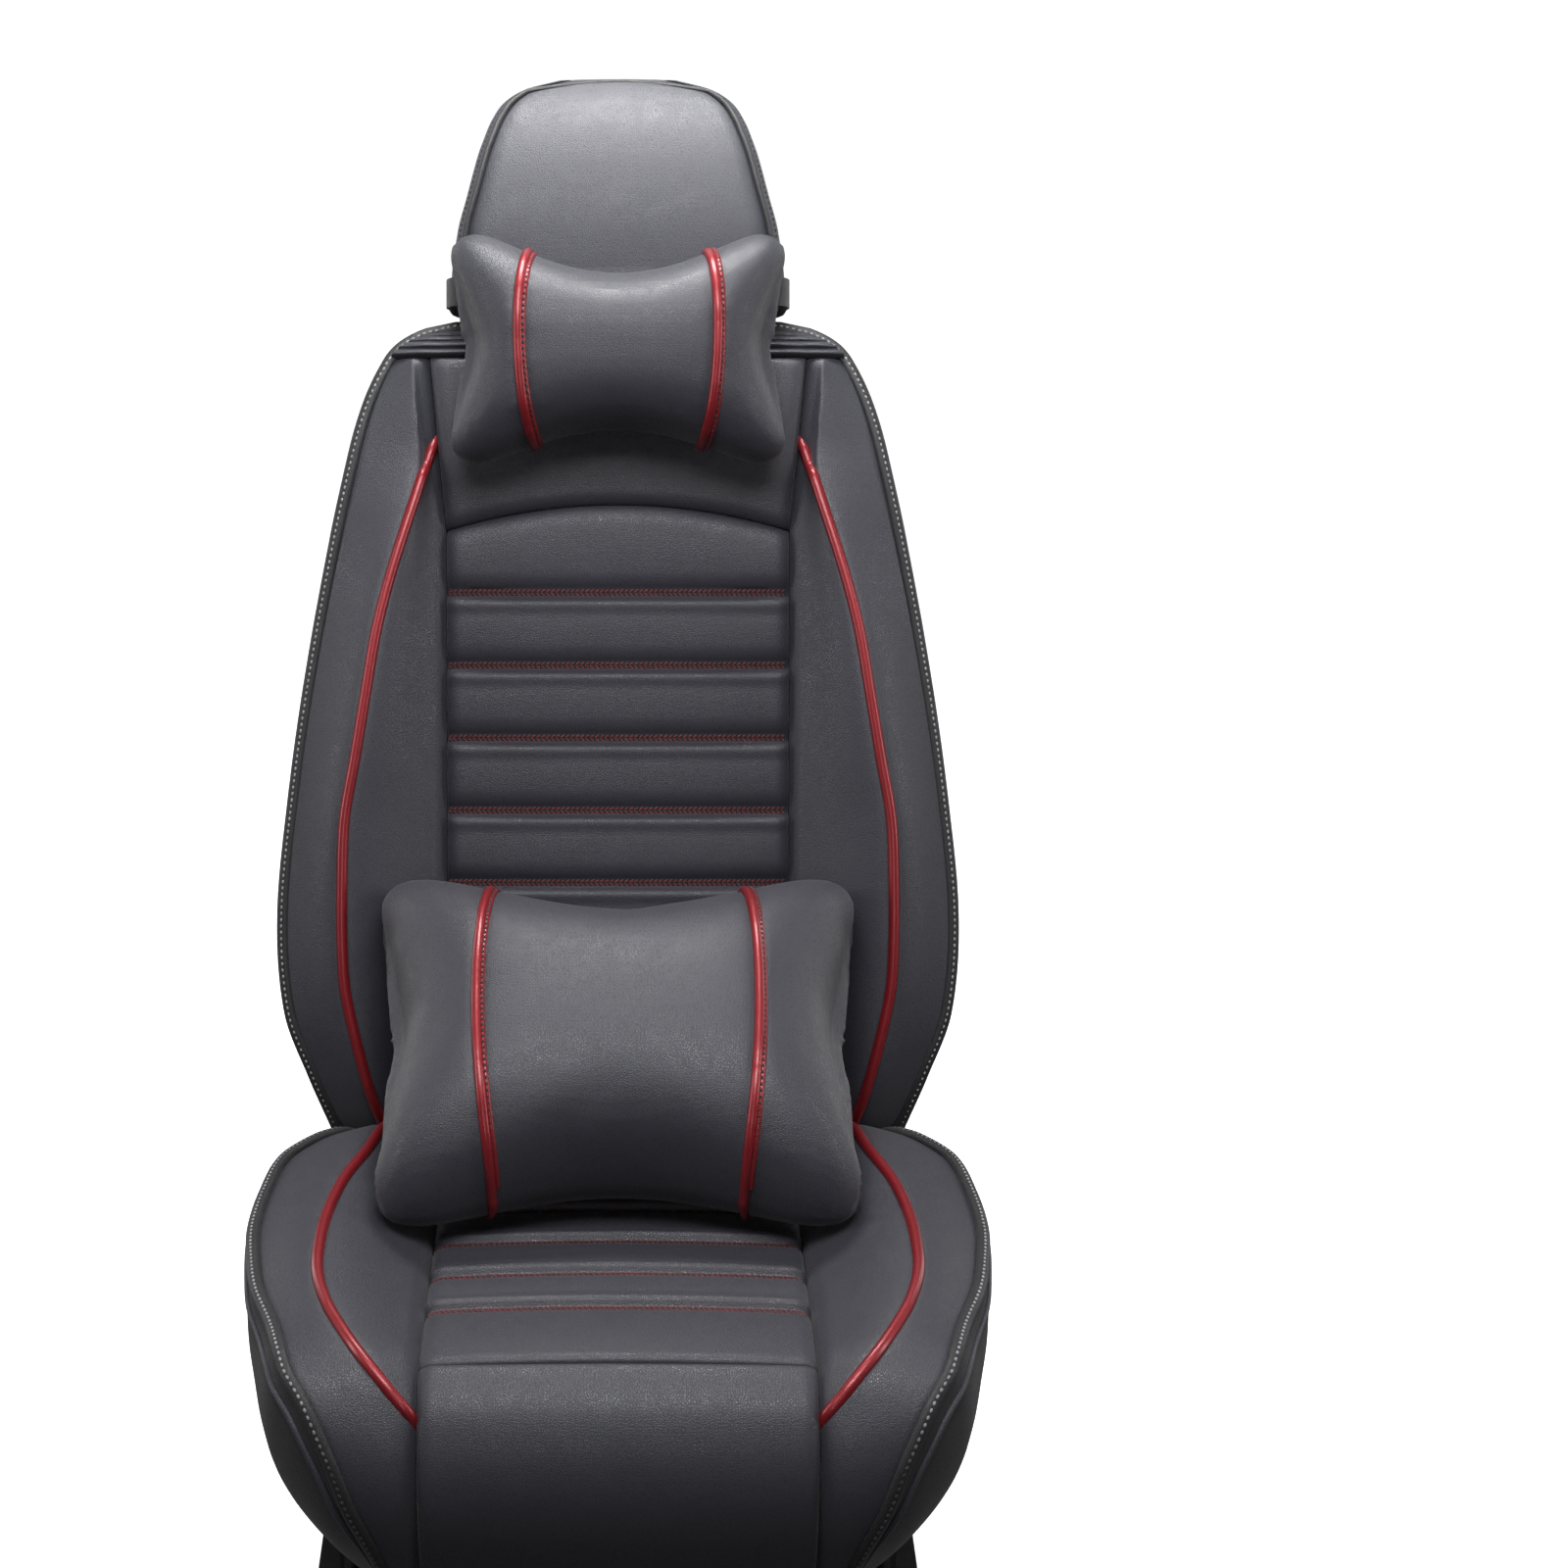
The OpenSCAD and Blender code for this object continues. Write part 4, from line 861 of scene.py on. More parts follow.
def seat_bolster_face(x, v):
    """Height of a cushion bolster over the cushion's line, with its rolls at the seams and the piping."""
    a, e, red = mm("centre_w") + SIDE_GAP, seat_edge_x(v) - 1, red_seam_x(v)
    h = seat_bolster_h(x, v) + seam_roll(x - a) + lip(e - x, *EDGE_LIP)
    fade = held((RED_SEAT_END - 1 - v) / 12) * held((red - a) / 12)
    h += fade * lip(abs(x - red), *RED_LIP)
    return h + lip(v - SEAT_START, 10.0, 6.0) + lip(SEAT_END - v, 8.0, 3.0) + wrinkle(x, v, 7, 24.0, 0.4)


class SEAT_OT_cushion_bolsters(bpy.types.Operator):
    """Raised sides of the cushion with their red pipings"""
    bl_idname = "seat.cushion_bolsters"
    bl_label = "Cushion bolsters"

    def execute(self, context):
        vs = stations(SEAT_START, 60, 285, 60, SEAT_END)
        inner = mm("centre_w") + SIDE_GAP
        for side, sign in sides():
            grid = []
            for v in vs:
                red = max(red_seam_x(v), inner + 3)
                xs = stations(inner, 26, red, 30, seat_edge_x(v) - 1)
                grid.append(flip([on_seat(x, v, seat_bolster_face(x, v)) for x in xs], sign))
            n = len(grid[0])

            def foot(i, j):
                y, z = seat_under(vs[i])
                low = max(seat_edge_x(vs[i]) - 12, inner + 6)
                return Vector((sign * (inner + (low - inner) * j / (n - 1)), y, z + FOOT_GAP)) * MM

            piece = panel(f"cushion_bolster_{side}", grid, foot, "seat_base")
            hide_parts(f"seat_bolster_{side}")
            path, ups = [], []
            for v in span(50, RED_SEAT_END, 160):
                x = max(red_seam_x(v), inner + 1.6)
                path.append(on_seat(x, v, seat_bolster_h(x, v) - dive(v, RED_SEAT_END)))
                ups.append(seat_up(v))
            piping = tube(f"cushion_red_piping_{side}", flip(path, sign), mm("piping_r"), "piping_red",
                          "seat_base", flip(ups, sign))
            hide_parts("seat_red_piping")
        return {"FINISHED"}


def skirt_hem(v):
    """Lower edge of a skirt at station v."""
    return curve(v, SKIRT_HEM)


def skirt_point(v, t, out=0.0):
    """Point of a skirt's outside, t from 0 at the edge piping to 1 at its hem."""
    a = seat_edge(v) / MM + Vector((1.6, 0, 0))
    c = skirt_hem(v)
    m = (a + c) / 2 + Vector((curve(v, SKIRT_BULGE), 0, 14))
    return bezier(a, m, c, t) + Vector((out, 0, 0))


class SEAT_OT_cushion_skirts(bpy.types.Operator):
    """Side covers that hang from the edge pipings over the seat frame"""
    bl_idname = "seat.cushion_skirts"
    bl_label = "Cushion skirts"

    def execute(self, context):
        vs = stations(38, 90, SEAT_END)
        for side, sign in sides():
            rings = []
            for v in vs:
                u = seat_under(v)
                nose = held((v - 356) / 100)
                ring = []
                for t in span(0, 1, 30):
                    fold = wrinkle(v, 60 * t, 3, 30.0, 1.1) * math.sin(math.pi * t)
                    ring.append(skirt_point(v, t, fold))
                hem = skirt_hem(v)
                ring.append(hem + Vector((-5 * (1 - 0.5 * nose), 3 * nose, -1.0)))
                ring.append(hem + Vector((-10 * (1 - 0.5 * nose), 6 * nose, 0.5)))
                ring.append(Vector((max(seat_edge_x(v) - 11.4, mm("centre_w") + 7), u[0], u[1])))
                ring.append(seat_edge(v) / MM + Vector((-0.4, 0, 0)))
                rings.append(flip([p * MM for p in ring], sign))
            piece = loft(f"cushion_skirt_{side}", rings, "leather_side", "seat_base")
            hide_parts(f"seat_skirt_{side}")
        return {"FINISHED"}


class SEAT_OT_cushion_edge(bpy.types.Operator):
    """Black edge pipings of the cushion with their pale stitches"""
    bl_idname = "seat.cushion_edge"
    bl_label = "Cushion edge pipings"

    def execute(self, context):
        places = []
        for side, sign in sides():
            path, ups = [], []
            for v in span(42, 582, 230):
                p = seat_edge(v)
                path.append(p + Vector((0, 0, MM if v < 400 else 0)))
                ups.append((seat_up(v) + Vector((0.35, -0.45, 0))).normalized())
            path, ups = flip(path, sign), flip(ups, sign)
            piping = tube(f"cushion_edge_piping_{side}", path, mm("edge_r"), "piping_black", "seat_base", ups,
                          squeeze=EDGE_SQUEEZE)
            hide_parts("seat_edge_piping")
            places += along(path, ups, 5.0, mm("edge_r") * 0.95)
            welt, ways = [], []
            for v in span(180, 582, 160):
                spread = min((v - 180) / 120, 1.0)
                welt.append(skirt_point(v, 0.02 + 0.09 * spread) * MM)
                ways.append(Vector((1, -0.5, 0)).normalized())
            tube(f"cushion_skirt_welt_{side}", flip(welt, sign), WELT_R, "leather", "seat_base",
                 flip(ways, sign))
        stitches("cushion_edge_stitches", places, (3.3, 2.1, 1.5), "thread_edge", "seat_base")
        return {"FINISHED"}


# ---------------------------------------------------------------- backrest

BACK_UP = Vector((0, math.sin(LEAN), math.cos(LEAN)))
BACK_OUT = Vector((0, -math.cos(LEAN), math.sin(LEAN)))


def back_rows():
    """Heights of the backrest's sewn rows, from the top."""
    return [TOP_ROW - i * mm("back_pitch") for i in range(ROWS_BACK)]


def back_face(x, s):
    """How far the backrest's centre panel stands out of the pivot plane."""
    half = panel_half()
    rows = back_rows()
    near = min(rows, key=lambda r: abs(r - s))
    out = FACE_N + crown(x)
    stops = [arch_s(x)] + rows + [16.0]
    for a, b in zip(stops, stops[1:]):
        if b <= s <= a:
            out += swell((a - s) / (a - b), 2.8)
    out += row_roll(near - s)
    out += seam_roll(half - abs(x))
    out += lip(arch_s(x) - s, 14.0, 6.5) + lip(s - 16, 24.0, 26.0)
    return out + wrinkle(x, s, 5, 22.0, 0.35)


class SEAT_OT_back_centre(bpy.types.Operator):
    """Stitched centre panel of the backrest"""
    bl_idname = "seat.back_centre"
    bl_label = "Backrest centre"

    def execute(self, context):
        half = panel_half()
        xs = eased(-half, half, 72, 0.75)
        rows = back_rows()
        stops = [16.5, 16, rows[-1]]
        for row in rows[-2::-1]:
            stops += [30, row]
        ss = stations(*stops)
        tops = eased(0.0, 1.0, 26, 0.75)[1:]
        heights = [[s] * len(xs) for s in ss]
        heights += [[rows[0] + (arch_s(x) - GAP - rows[0]) * t for x in xs] for t in tops]
        grid = [[at_back(x, s, back_face(x, s)) for x, s in zip(xs, row)] for row in heights]

        def foot(i, j):
            return at_back(xs[j], heights[i][j], FOAM_N + FOOT_GAP)

        piece = panel("backrest_centre", grid, foot, "backrest")
        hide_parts("back_centre_pad")
        ends = eased(3 - half, half - 3, 60, 0.5)
        paths = [[at_back(x, s, back_face(x, s) + THREAD_LIFT) for x in ends] for s in rows]
        sewn_rows("backrest", paths, BACK_OUT, "backrest")
        return {"FINISHED"}


YOKE_H = 124.0    # height of the yoke over which its ends roll


def yoke_place(u, k, n):
    """Place on the yoke: u from -1 to 1 across it, k from 0 to 1 up it."""
    low = arch_s(u * mm("centre_w")) + GAP
    s = low + (BACK_END - low) * k
    return at_back(u * (seam_x(s) - GAP), s, n)


class SEAT_OT_back_yoke(bpy.types.Operator):
    """Smooth panel of the backrest between the sewn rows and the top band"""
    bl_idname = "seat.back_yoke"
    bl_label = "Backrest yoke"

    def execute(self, context):
        us, ks = eased(-1, 1, 64, 0.75), eased(0, 1, 60, 0.75)
        half = mm("centre_w")

        def out(u, k):
            n = FACE_N + 2 + crown(u * half) + swell(k, 3.0)
            n += seam_roll((1 - abs(u)) * half) + lip(k * YOKE_H, 12.0, 7.0)
            return n + lip((1 - k) * YOKE_H, 8.0, 5.5) + wrinkle(u * half, k * YOKE_H, 2, 25.0, 0.5)

        grid = [[yoke_place(u, k, out(u, k)) for u in us] for k in ks]
        piece = panel("backrest_yoke", grid,
                      lambda i, j: yoke_place(us[j], ks[i], FOAM_N + FOOT_GAP), "backrest")
        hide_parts("back_yoke_pad")
        return {"FINISHED"}


def back_bolster_face(x, s):
    """Height of a back bolster over the centre's face, with its rolls at the seams and the piping."""
    a, e, red = seam_x(s) + SIDE_GAP, back_edge_x(s) - 1, back_red_x(s)
    h = back_bolster_h(x, s) + seam_roll(x - a) + lip(e - x, *EDGE_LIP)
    fade = held((RED_BACK_END - s) / 10) * held((red - a) / 10)
    h += fade * lip(abs(x - red), *RED_LIP)
    return h + lip(s - BACK_START, 10.0, 6.0) + lip(BACK_END - s, 8.0, 5.0) + wrinkle(x, s, 9, 24.0, 0.4)


class SEAT_OT_back_bolsters(bpy.types.Operator):
    """Raised sides of the backrest with their red pipings"""
    bl_idname = "seat.back_bolsters"
    bl_label = "Backrest bolsters"

    def execute(self, context):
        ss = stations(BACK_START, 60, 300, 80, BACK_END)
        for side, sign in sides():
            grid = []
            for s in ss:
                a = seam_x(s) + SIDE_GAP
                red = min(max(back_red_x(s), a + 3), back_edge_x(s) - 8)
                xs = stations(a, 26, red, 30, back_edge_x(s) - 1)
                grid.append(flip([at_back(x, s, FACE_N + back_bolster_face(x, s)) for x in xs], sign))
            n = len(grid[0])

            def foot(i, j):
                a = seam_x(ss[i]) + SIDE_GAP
                low = max(back_edge_x(ss[i]) - 12, a + 3)
                return at_back(sign * (a + (low - a) * j / (n - 1)), ss[i], bolster_rear(ss[i]) + FOOT_GAP)

            piece = panel(f"backrest_bolster_{side}", grid, foot, "backrest")
            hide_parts(f"back_bolster_{side}")
            path, ups = [], []
            for s in span(16, RED_BACK_END, 200):
                x = max(back_red_x(s), seam_x(s) + 1.6)
                path.append(at_back(x, s, FACE_N + back_bolster_h(x, s) - dive(s, RED_BACK_END)))
                ups.append(BACK_OUT)
            piping = tube(f"backrest_red_piping_{side}", flip(path, sign), mm("piping_r"), "piping_red",
                          "backrest", flip(ups, sign))
            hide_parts("back_red_piping")
        return {"FINISHED"}


class SEAT_OT_back_gussets(bpy.types.Operator):
    """Side covers of the backrest, from the edge piping round to the rear panel"""
    bl_idname = "seat.back_gussets"
    bl_label = "Backrest gussets"

    def execute(self, context):
        ss = stations(RECLINER_CLEAR + 3, 100, BACK_END)
        for side, sign in sides():
            rings = []
            for s in ss:
                ex, en = back_edge_x(s), back_edge_n(s)
                mid = (ex + 4 + 15 * held((s - 20) / 50), 40)
                low = (ex - 28, -SHELL_N)
                ring = []
                for t in span(0, 1, 30):
                    px = bezier(ex + 0.8, mid[0], low[0], t)
                    pn = bezier(en - 1, mid[1], low[1], t)
                    fold = wrinkle(s, 110 * t, 1, 34.0, 1.2) * math.sin(math.pi * t)
                    ring.append((px + fold + lip(abs(t - 0.82) * 110, 4.0, 1.6), pn))
                ring += [(low[0] - 5, -SHELL_N - 0.3), (low[0] - 10, -SHELL_N + 1), (ex - 11.4, FOAM_N),
                         (ex - 0.5, en - 1)]
                rings.append([at_back(sign * x, s, n) for x, n in ring])
            piece = loft(f"backrest_gusset_{side}", rings, "leather_side", "backrest")
            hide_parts(f"back_gusset_{side}")
        return {"FINISHED"}


PLEATS = [
    (0.00, 0.0, 79.0), (0.05, 2.5, 86.0), (0.13, 5.0, 86.5), (0.2, 7.2, 82.0), (0.26, 9.0, 84.5),
    (0.34, 11.2, 84.0), (0.4, 13.0, 79.0), (0.46, 14.5, 80.5), (0.54, 16.3, 79.0), (0.6, 17.6, 74.5),
    (0.67, 19.0, 75.0), (0.76, 21.0, 70.0), (0.88, 23.4, 63.0), (1.0, 25.0, 56.0), (1.05, 27.0, 40.0),
    (1.06, 27.5, 22.0), (1.04, 26.5, 2.0), (1.0, 25.0, -12.0), (0.88, 22.0, -27.0), (0.72, 18.0, -37.0),
    (0.5, 13.0, -44.0), (0.3, 8.0, -48.0), (0.12, 2.5, -50.0)]


def top_half_w(k):
    """Half width of the top band, k from 0 at its seam to 1 at the backrest's top edge."""
    w = back_edge_x(TOP_SEAM) - 2
    return w + (back_edge_x(BACK_TOP) - w) * min(max(k, 0.0), 1.1)**1.5


class SEAT_OT_back_top(bpy.types.Operator):
    """Pleated band over the top edge of the backrest"""
    bl_idname = "seat.back_top"
    bl_label = "Backrest top band"

    def execute(self, context):
        table = [(i, row) for i, row in enumerate(PLEATS)]
        profile = [curve(i / 4, table) for i in range((len(PLEATS) - 1) * 4 + 1)]
        rings = []
        for u in eased(-1, 1, 120, 0.5):
            ring = []
            for k, s, n in profile:
                edge = 8 * abs(u)**8 if n > 0 else 0
                tuck = 0.9 * math.sin(34 * u + 3 * k) * math.sin(math.pi * held(k)) if n > 0 else 0
                ring.append(at_back(u * top_half_w(k), TOP_SEAM + s, n - edge + tuck))
            rings.append(ring)
        piece = loft("backrest_top_band", rings, "leather", "backrest")
        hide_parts("back_top_pad")
        return {"FINISHED"}


class SEAT_OT_back_edge(bpy.types.Operator):
    """Black edge piping round the backrest with its pale stitches"""
    bl_idname = "seat.back_edge"
    bl_label = "Backrest edge piping"

    def execute(self, context):
        half, ups = [], []
        for s in span(18, 636, 260):
            half.append(at_back(back_edge_x(s) - 1.6, s, back_edge_n(s) + 0.4))
            turn = held((s - 560) / 76)
            side = Vector((1 - 0.8 * turn, 0, 0)) + BACK_UP * 0.9 * turn
            ups.append((side * 0.35 + BACK_OUT).normalized())
        half_top = back_edge_x(BACK_TOP)
        top = []
        for x in span(half_top - 2, 2 - half_top, 90):
            bow = (x / half_top)**2
            top.append(at_back(x, BACK_TOP + 1 - 0.6 * bow, 58 + bow))
        path = half + top + mirrored(half)[::-1]
        ways = ups + [(BACK_UP * 0.5 + BACK_OUT).normalized()] * len(top) + mirrored(ups)[::-1]
        piece = tube("backrest_edge_piping", path, mm("edge_r"), "piping_black", "backrest", ways,
                     squeeze=EDGE_SQUEEZE)
        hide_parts("back_edge_piping")
        stitches("backrest_edge_stitches", along(path, ways, 4.9, mm("edge_r") * 0.94), (3.0, 1.8, 1.5),
                 "thread_edge", "backrest")
        return {"FINISHED"}


POCKET_LOW, POCKET_HIGH = 110, 345


class SEAT_OT_map_pocket(bpy.types.Operator):
    """Gathered pocket on the rear panel"""
    bl_idname = "seat.map_pocket"
    bl_label = "Map pocket"

    def execute(self, context):
        rings = []
        for s in eased(POCKET_LOW, POCKET_HIGH, 80, 0.6):
            t = (s - POCKET_LOW) / (POCKET_HIGH - POCKET_LOW)
            w = 150 + 0.06 * (s - POCKET_LOW)
            depth = 11 * min(1.0, 0.5 + t * 6) + 3 * math.sin(math.pi * t)
            outer, inner = [], []
            for u in eased(-1, 1, 60, 0.5):
                gather = 0.9 * math.sin(46 * u) * max(0.0, (t - 0.86) / 0.14)
                belly = depth * (1 - 0.8 * u * u) + gather + wrinkle(u * w, s, 4, 28.0, 0.7)
                outer.append(at_back(-u * w, s, -SHELL_N - 12 - belly))
                inner.append(at_back(u * w, s, -SHELL_N - 11.8 + 3 * u * u))
            rings.append(inner + outer)
        piece = loft("map_pocket_cover", rings, "leather_side", "backrest")
        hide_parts("map_pocket")
        return {"FINISHED"}


# ---------------------------------------------------------------- head restraint

PIPING_IN = 8     # the piping's distance from the outline of the head restraint
ARC_K = 181       # height where the piping turns over the top


def head_sizes(k, grow=0.0):
    """Half width, face and rear of the head restraint at height k."""
    return curve(k, HEAD_HALF_W) + grow, curve(k, HEAD_FRONT) + grow, curve(k, HEAD_REAR) - grow


def head_ring(k, grow=0.0):
    """Outline of the head restraint at height k, larger by grow all round."""
    w, f, r = head_sizes(k, grow)
    m = (f + r) / 2
    piped = max(w - PIPING_IN - grow, 2)
    ring = []
    for u in span(-1, 1, 28):
        x = u * piped
        ring.append((x, f - 2.6 * u * u + lip(piped - abs(x), 8.0, 4.5) * (0 if grow else 1)))
    side = [(piped + (w - piped) * math.sin(a), f - 3.5 + ((m + (f - m) * 0.4) - f + 3.5) * (1 - math.cos(a)))
            for a in span(0.25, math.pi / 2, 6)]
    side += [(w, m + (f - m) * 0.12), (w * 0.995, m - (m - r) * 0.3), (w * 0.97, m - (m - r) * 0.62),
             (w * 0.9, r + 7)]
    back = [(u * w, r + 10 * abs(u)**4) for u in span(0.78, -0.78, 14)]
    ring += side + back + [(-x, n) for x, n in reversed(side)]
    return ring


class SEAT_OT_head_pad(bpy.types.Operator):
    """Pad of the head restraint with its edge piping and sewn gusset"""
    bl_idname = "seat.head_pad"
    bl_label = "Head restraint pad"

    def execute(self, context):
        rings = []
        for k in stations(0, 20, 40, 30, 140, 36, 191.5):
            fade = lip(k, 5.0, 3.0)
            rings.append([at_back(x, HEAD_S + k, n + (fade if n > 30 else -fade)
                                  + wrinkle(x, k, 8, 26.0, 0.5)) for x, n in head_ring(k)])
        piece = loft("head_restraint_pad", rings, "leather", "headrest")
        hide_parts("head_pad")
        half, ups = [], []
        for k in span(6, ARC_K, 150):
            w, f, _ = head_sizes(k)
            half.append(at_back(w - PIPING_IN, HEAD_S + k, f - 3.0))
            turn = held((k - 140) / 40)
            ups.append((Vector((0.8 * (1 - turn), 0, 0)) + BACK_UP * 0.8 * turn + BACK_OUT).normalized())
        arc = []
        for t in span(0.04, 0.5, 24):
            x = (curve(ARC_K, HEAD_HALF_W) - PIPING_IN) * (1 - 2 * t)
            k = ARC_K + 8 * math.sin(min(t * 2, 1) * math.pi / 2)
            arc.append(at_back(x, HEAD_S + k, curve(min(k, 188), HEAD_FRONT) - 2.6))
        arc_ups = [(BACK_UP * 0.8 + BACK_OUT).normalized()] * len(arc)
        path = half + arc + mirrored(half + arc[:-1])[::-1]
        ways = ups + arc_ups + mirrored(ups + arc_ups[:-1])[::-1]
        piping = tube("head_restraint_piping", path, HEAD_PIPING_R, "piping_black", "headrest", ways)
        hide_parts("head_piping")
        seam, seam_ups = [], []
        for k in span(10, 176, 120):
            w, f, _ = head_sizes(k)
            seam.append(at_back(w - 3.4, HEAD_S + k, f - 7.2))
            seam_ups.append((Vector((0.6, 0, 0)) + BACK_OUT * 0.8).normalized())
        places = []
        for _, sign in sides():
            places += along(flip(seam, sign), flip(seam_ups, sign), 4.4, 0.2)
        stitches("head_restraint_stitches", places, (3.2, 1.5, 1.2), "thread_dark", "headrest")
        return {"FINISHED"}


# ---------------------------------------------------------------- pillows

NECK_S, NECK_N = 618, 90.4 + 88 * 0.44


def puff(u, v, t):
    """Height of a pillow of thickness t over its sewn edge."""
    return t / 2 * max(0.0, 1 - abs(u)**5)**0.5 * max(0.0, 1 - abs(v)**2.5)**0.5


def neck_place(x, y, h):
    """Place on the neck pillow, whose face is a little fuller than its rear."""
    return at_back(x, NECK_S + y, NECK_N + h * (1.12 if h > 0 else 0.88))


def lumbar_mid(y):
    """Middle of the lumbar pillow, which sags between its foot and its head."""
    reach = LUMBAR_HEAD - LUMBAR_FOOT
    t = 2 * y / reach.length
    down = Vector((reach.y, -reach.x)).normalized()
    return (LUMBAR_HEAD + LUMBAR_FOOT + t * reach) / 2 + LUMBAR_SAG * (1 - t * t) * down


def lumbar_place(x, y, h):
    """Place on the lumbar pillow, which leans on the backrest."""
    c = lumbar_mid(y)
    d = (lumbar_mid(y + 1) - lumbar_mid(y - 1)).normalized()
    return Vector((x, c.x - d.y * h, c.y + d.x * h)) * MM


# Width, height and thickness, how far the sides pull in, the line of the piping, and how full each face is
PILLOWS = {
    "neck": dict(
        place=neck_place, out=BACK_OUT, w=271, h=185, t=88, waist=26, dip_top=33, dip_bottom=29, taper=0,
        pipe=(74.5, 8.0, 2.5), rim=2.0, face=1.0, back=1.0, most=42.0,
        body="neck_pillow", nodes=("neck_pillow", "neck_pillow_piping")),
    "lumbar": dict(
        place=lumbar_place, out=Vector((0, -0.48, 0.877)), w=371, h=308, t=144, waist=28, dip_top=40,
        dip_bottom=34, taper=0.02, pipe=(102, 9.5, 1.5), rim=3.0, face=1.19, back=0.8, most=60.0,
        body="lumbar_pillow", nodes=("lumbar_pillow", "lumbar_pillow_piping")),
}


def pipe_u(p, v):
    """Share of a pillow's half width where its piping crosses, in a slight bow."""
    middle, bow, slant = p["pipe"]
    reach = (p["w"] / 2 - p["waist"] * (1 - v * v)**2) * (1 + p["taper"] * v)
    return (middle - bow * v * v + slant * v) / reach


def pillow_height(p, u, v, front):
    """Height of a pillow's face at u, v, with the channel of its piping and creases from its corners."""
    rim = p["rim"] * min(1.0, 9 * (1 - abs(u)), 9 * (1 - abs(v)))
    if not front:
        return -min((puff(u, v, p["t"]) + rim) * p["back"], p["most"])
    h = puff(u, v, p["t"]) * p["face"] + rim
    gap = (abs(u) - pipe_u(p, v)) * p["w"] / 2
    edge = min(1 - abs(u), 1 - abs(v))
    crease = math.sin(v * 17 + 3 * u) * math.exp(-abs(gap) / 13) * 0.35 * (1 - v * v)
    fold = math.sin(math.atan2(1 - abs(v), 1.05 - abs(u)) * 8) * math.exp(-edge * 7) * 0.5
    h += (lip(abs(gap), 10.0, 4.2) + crease + fold) * min(1.0, 8 * edge)
    return h + wrinkle(u * 120, v * 90, 3, 24.0, 0.4)


def stuff(piece, out, cap):
    """Blow a sewn cover up with air pressure; no point of its face moves further than cap, its rear stays."""
    pick(piece)
    weave = piece.modifiers.new("weave", "REMESH")
    weave.mode, weave.voxel_size = "VOXEL", 0.0045
    bpy.ops.object.modifier_apply(modifier=weave.name)
    sewn = [(v.co.copy(), v.normal.dot(out)) for v in piece.data.vertices]
    air = piece.modifiers.new("air", "CLOTH")
    cloth = air.settings
    cloth.quality = 6
    cloth.use_pressure, cloth.uniform_pressure_force = True, 4.0
    cloth.effector_weights.gravity = 0.0
    cloth.tension_stiffness = cloth.compression_stiffness = 18.0
    cloth.shear_stiffness, cloth.bending_stiffness = 6.0, 0.4
    air.point_cache.frame_start, air.point_cache.frame_end = 1, 20
    for step in range(1, 21):
        bpy.context.scene.frame_set(step)
    blown = piece.evaluated_get(bpy.context.evaluated_depsgraph_get()).data
    moves = []
    for (start_at, facing), vert in zip(sewn, blown.vertices):
        move = vert.co - start_at
        most = (1.0 + (cap - 1.0) * held(facing + 0.2)) * MM
        moves.append(move * min(1.0, most / max(move.length, 1e-9)))
    piece.modifiers.remove(air)
    bpy.context.scene.frame_set(1)
    pairs = [tuple(e.vertices) for e in piece.data.edges]
    for _ in range(10):
        total, count = [m.copy() for m in moves], [1] * len(moves)
        for a, b in pairs:
            total[a] += moves[b]
            total[b] += moves[a]
            count[a] += 1
            count[b] += 1
        moves = [t / n for t, n in zip(total, count)]
    for vert, (start_at, _), move in zip(piece.data.vertices, sewn, moves):
        vert.co = start_at + move
    finer = piece.modifiers.new("finer", "SUBSURF")
    finer.levels = finer.render_levels = 1
    bpy.ops.object.modifier_apply(modifier=finer.name)
    piece.data.polygons.foreach_set("use_smooth", [True] * len(piece.data.polygons))


def on_cover(piece, outside, inside):
    """Where the line from outside to inside first meets a cover."""
    way = inside - outside
    hit, place, _, _ = piece.ray_cast(outside, way.normalized(), distance=way.length)
    return place if hit else inside


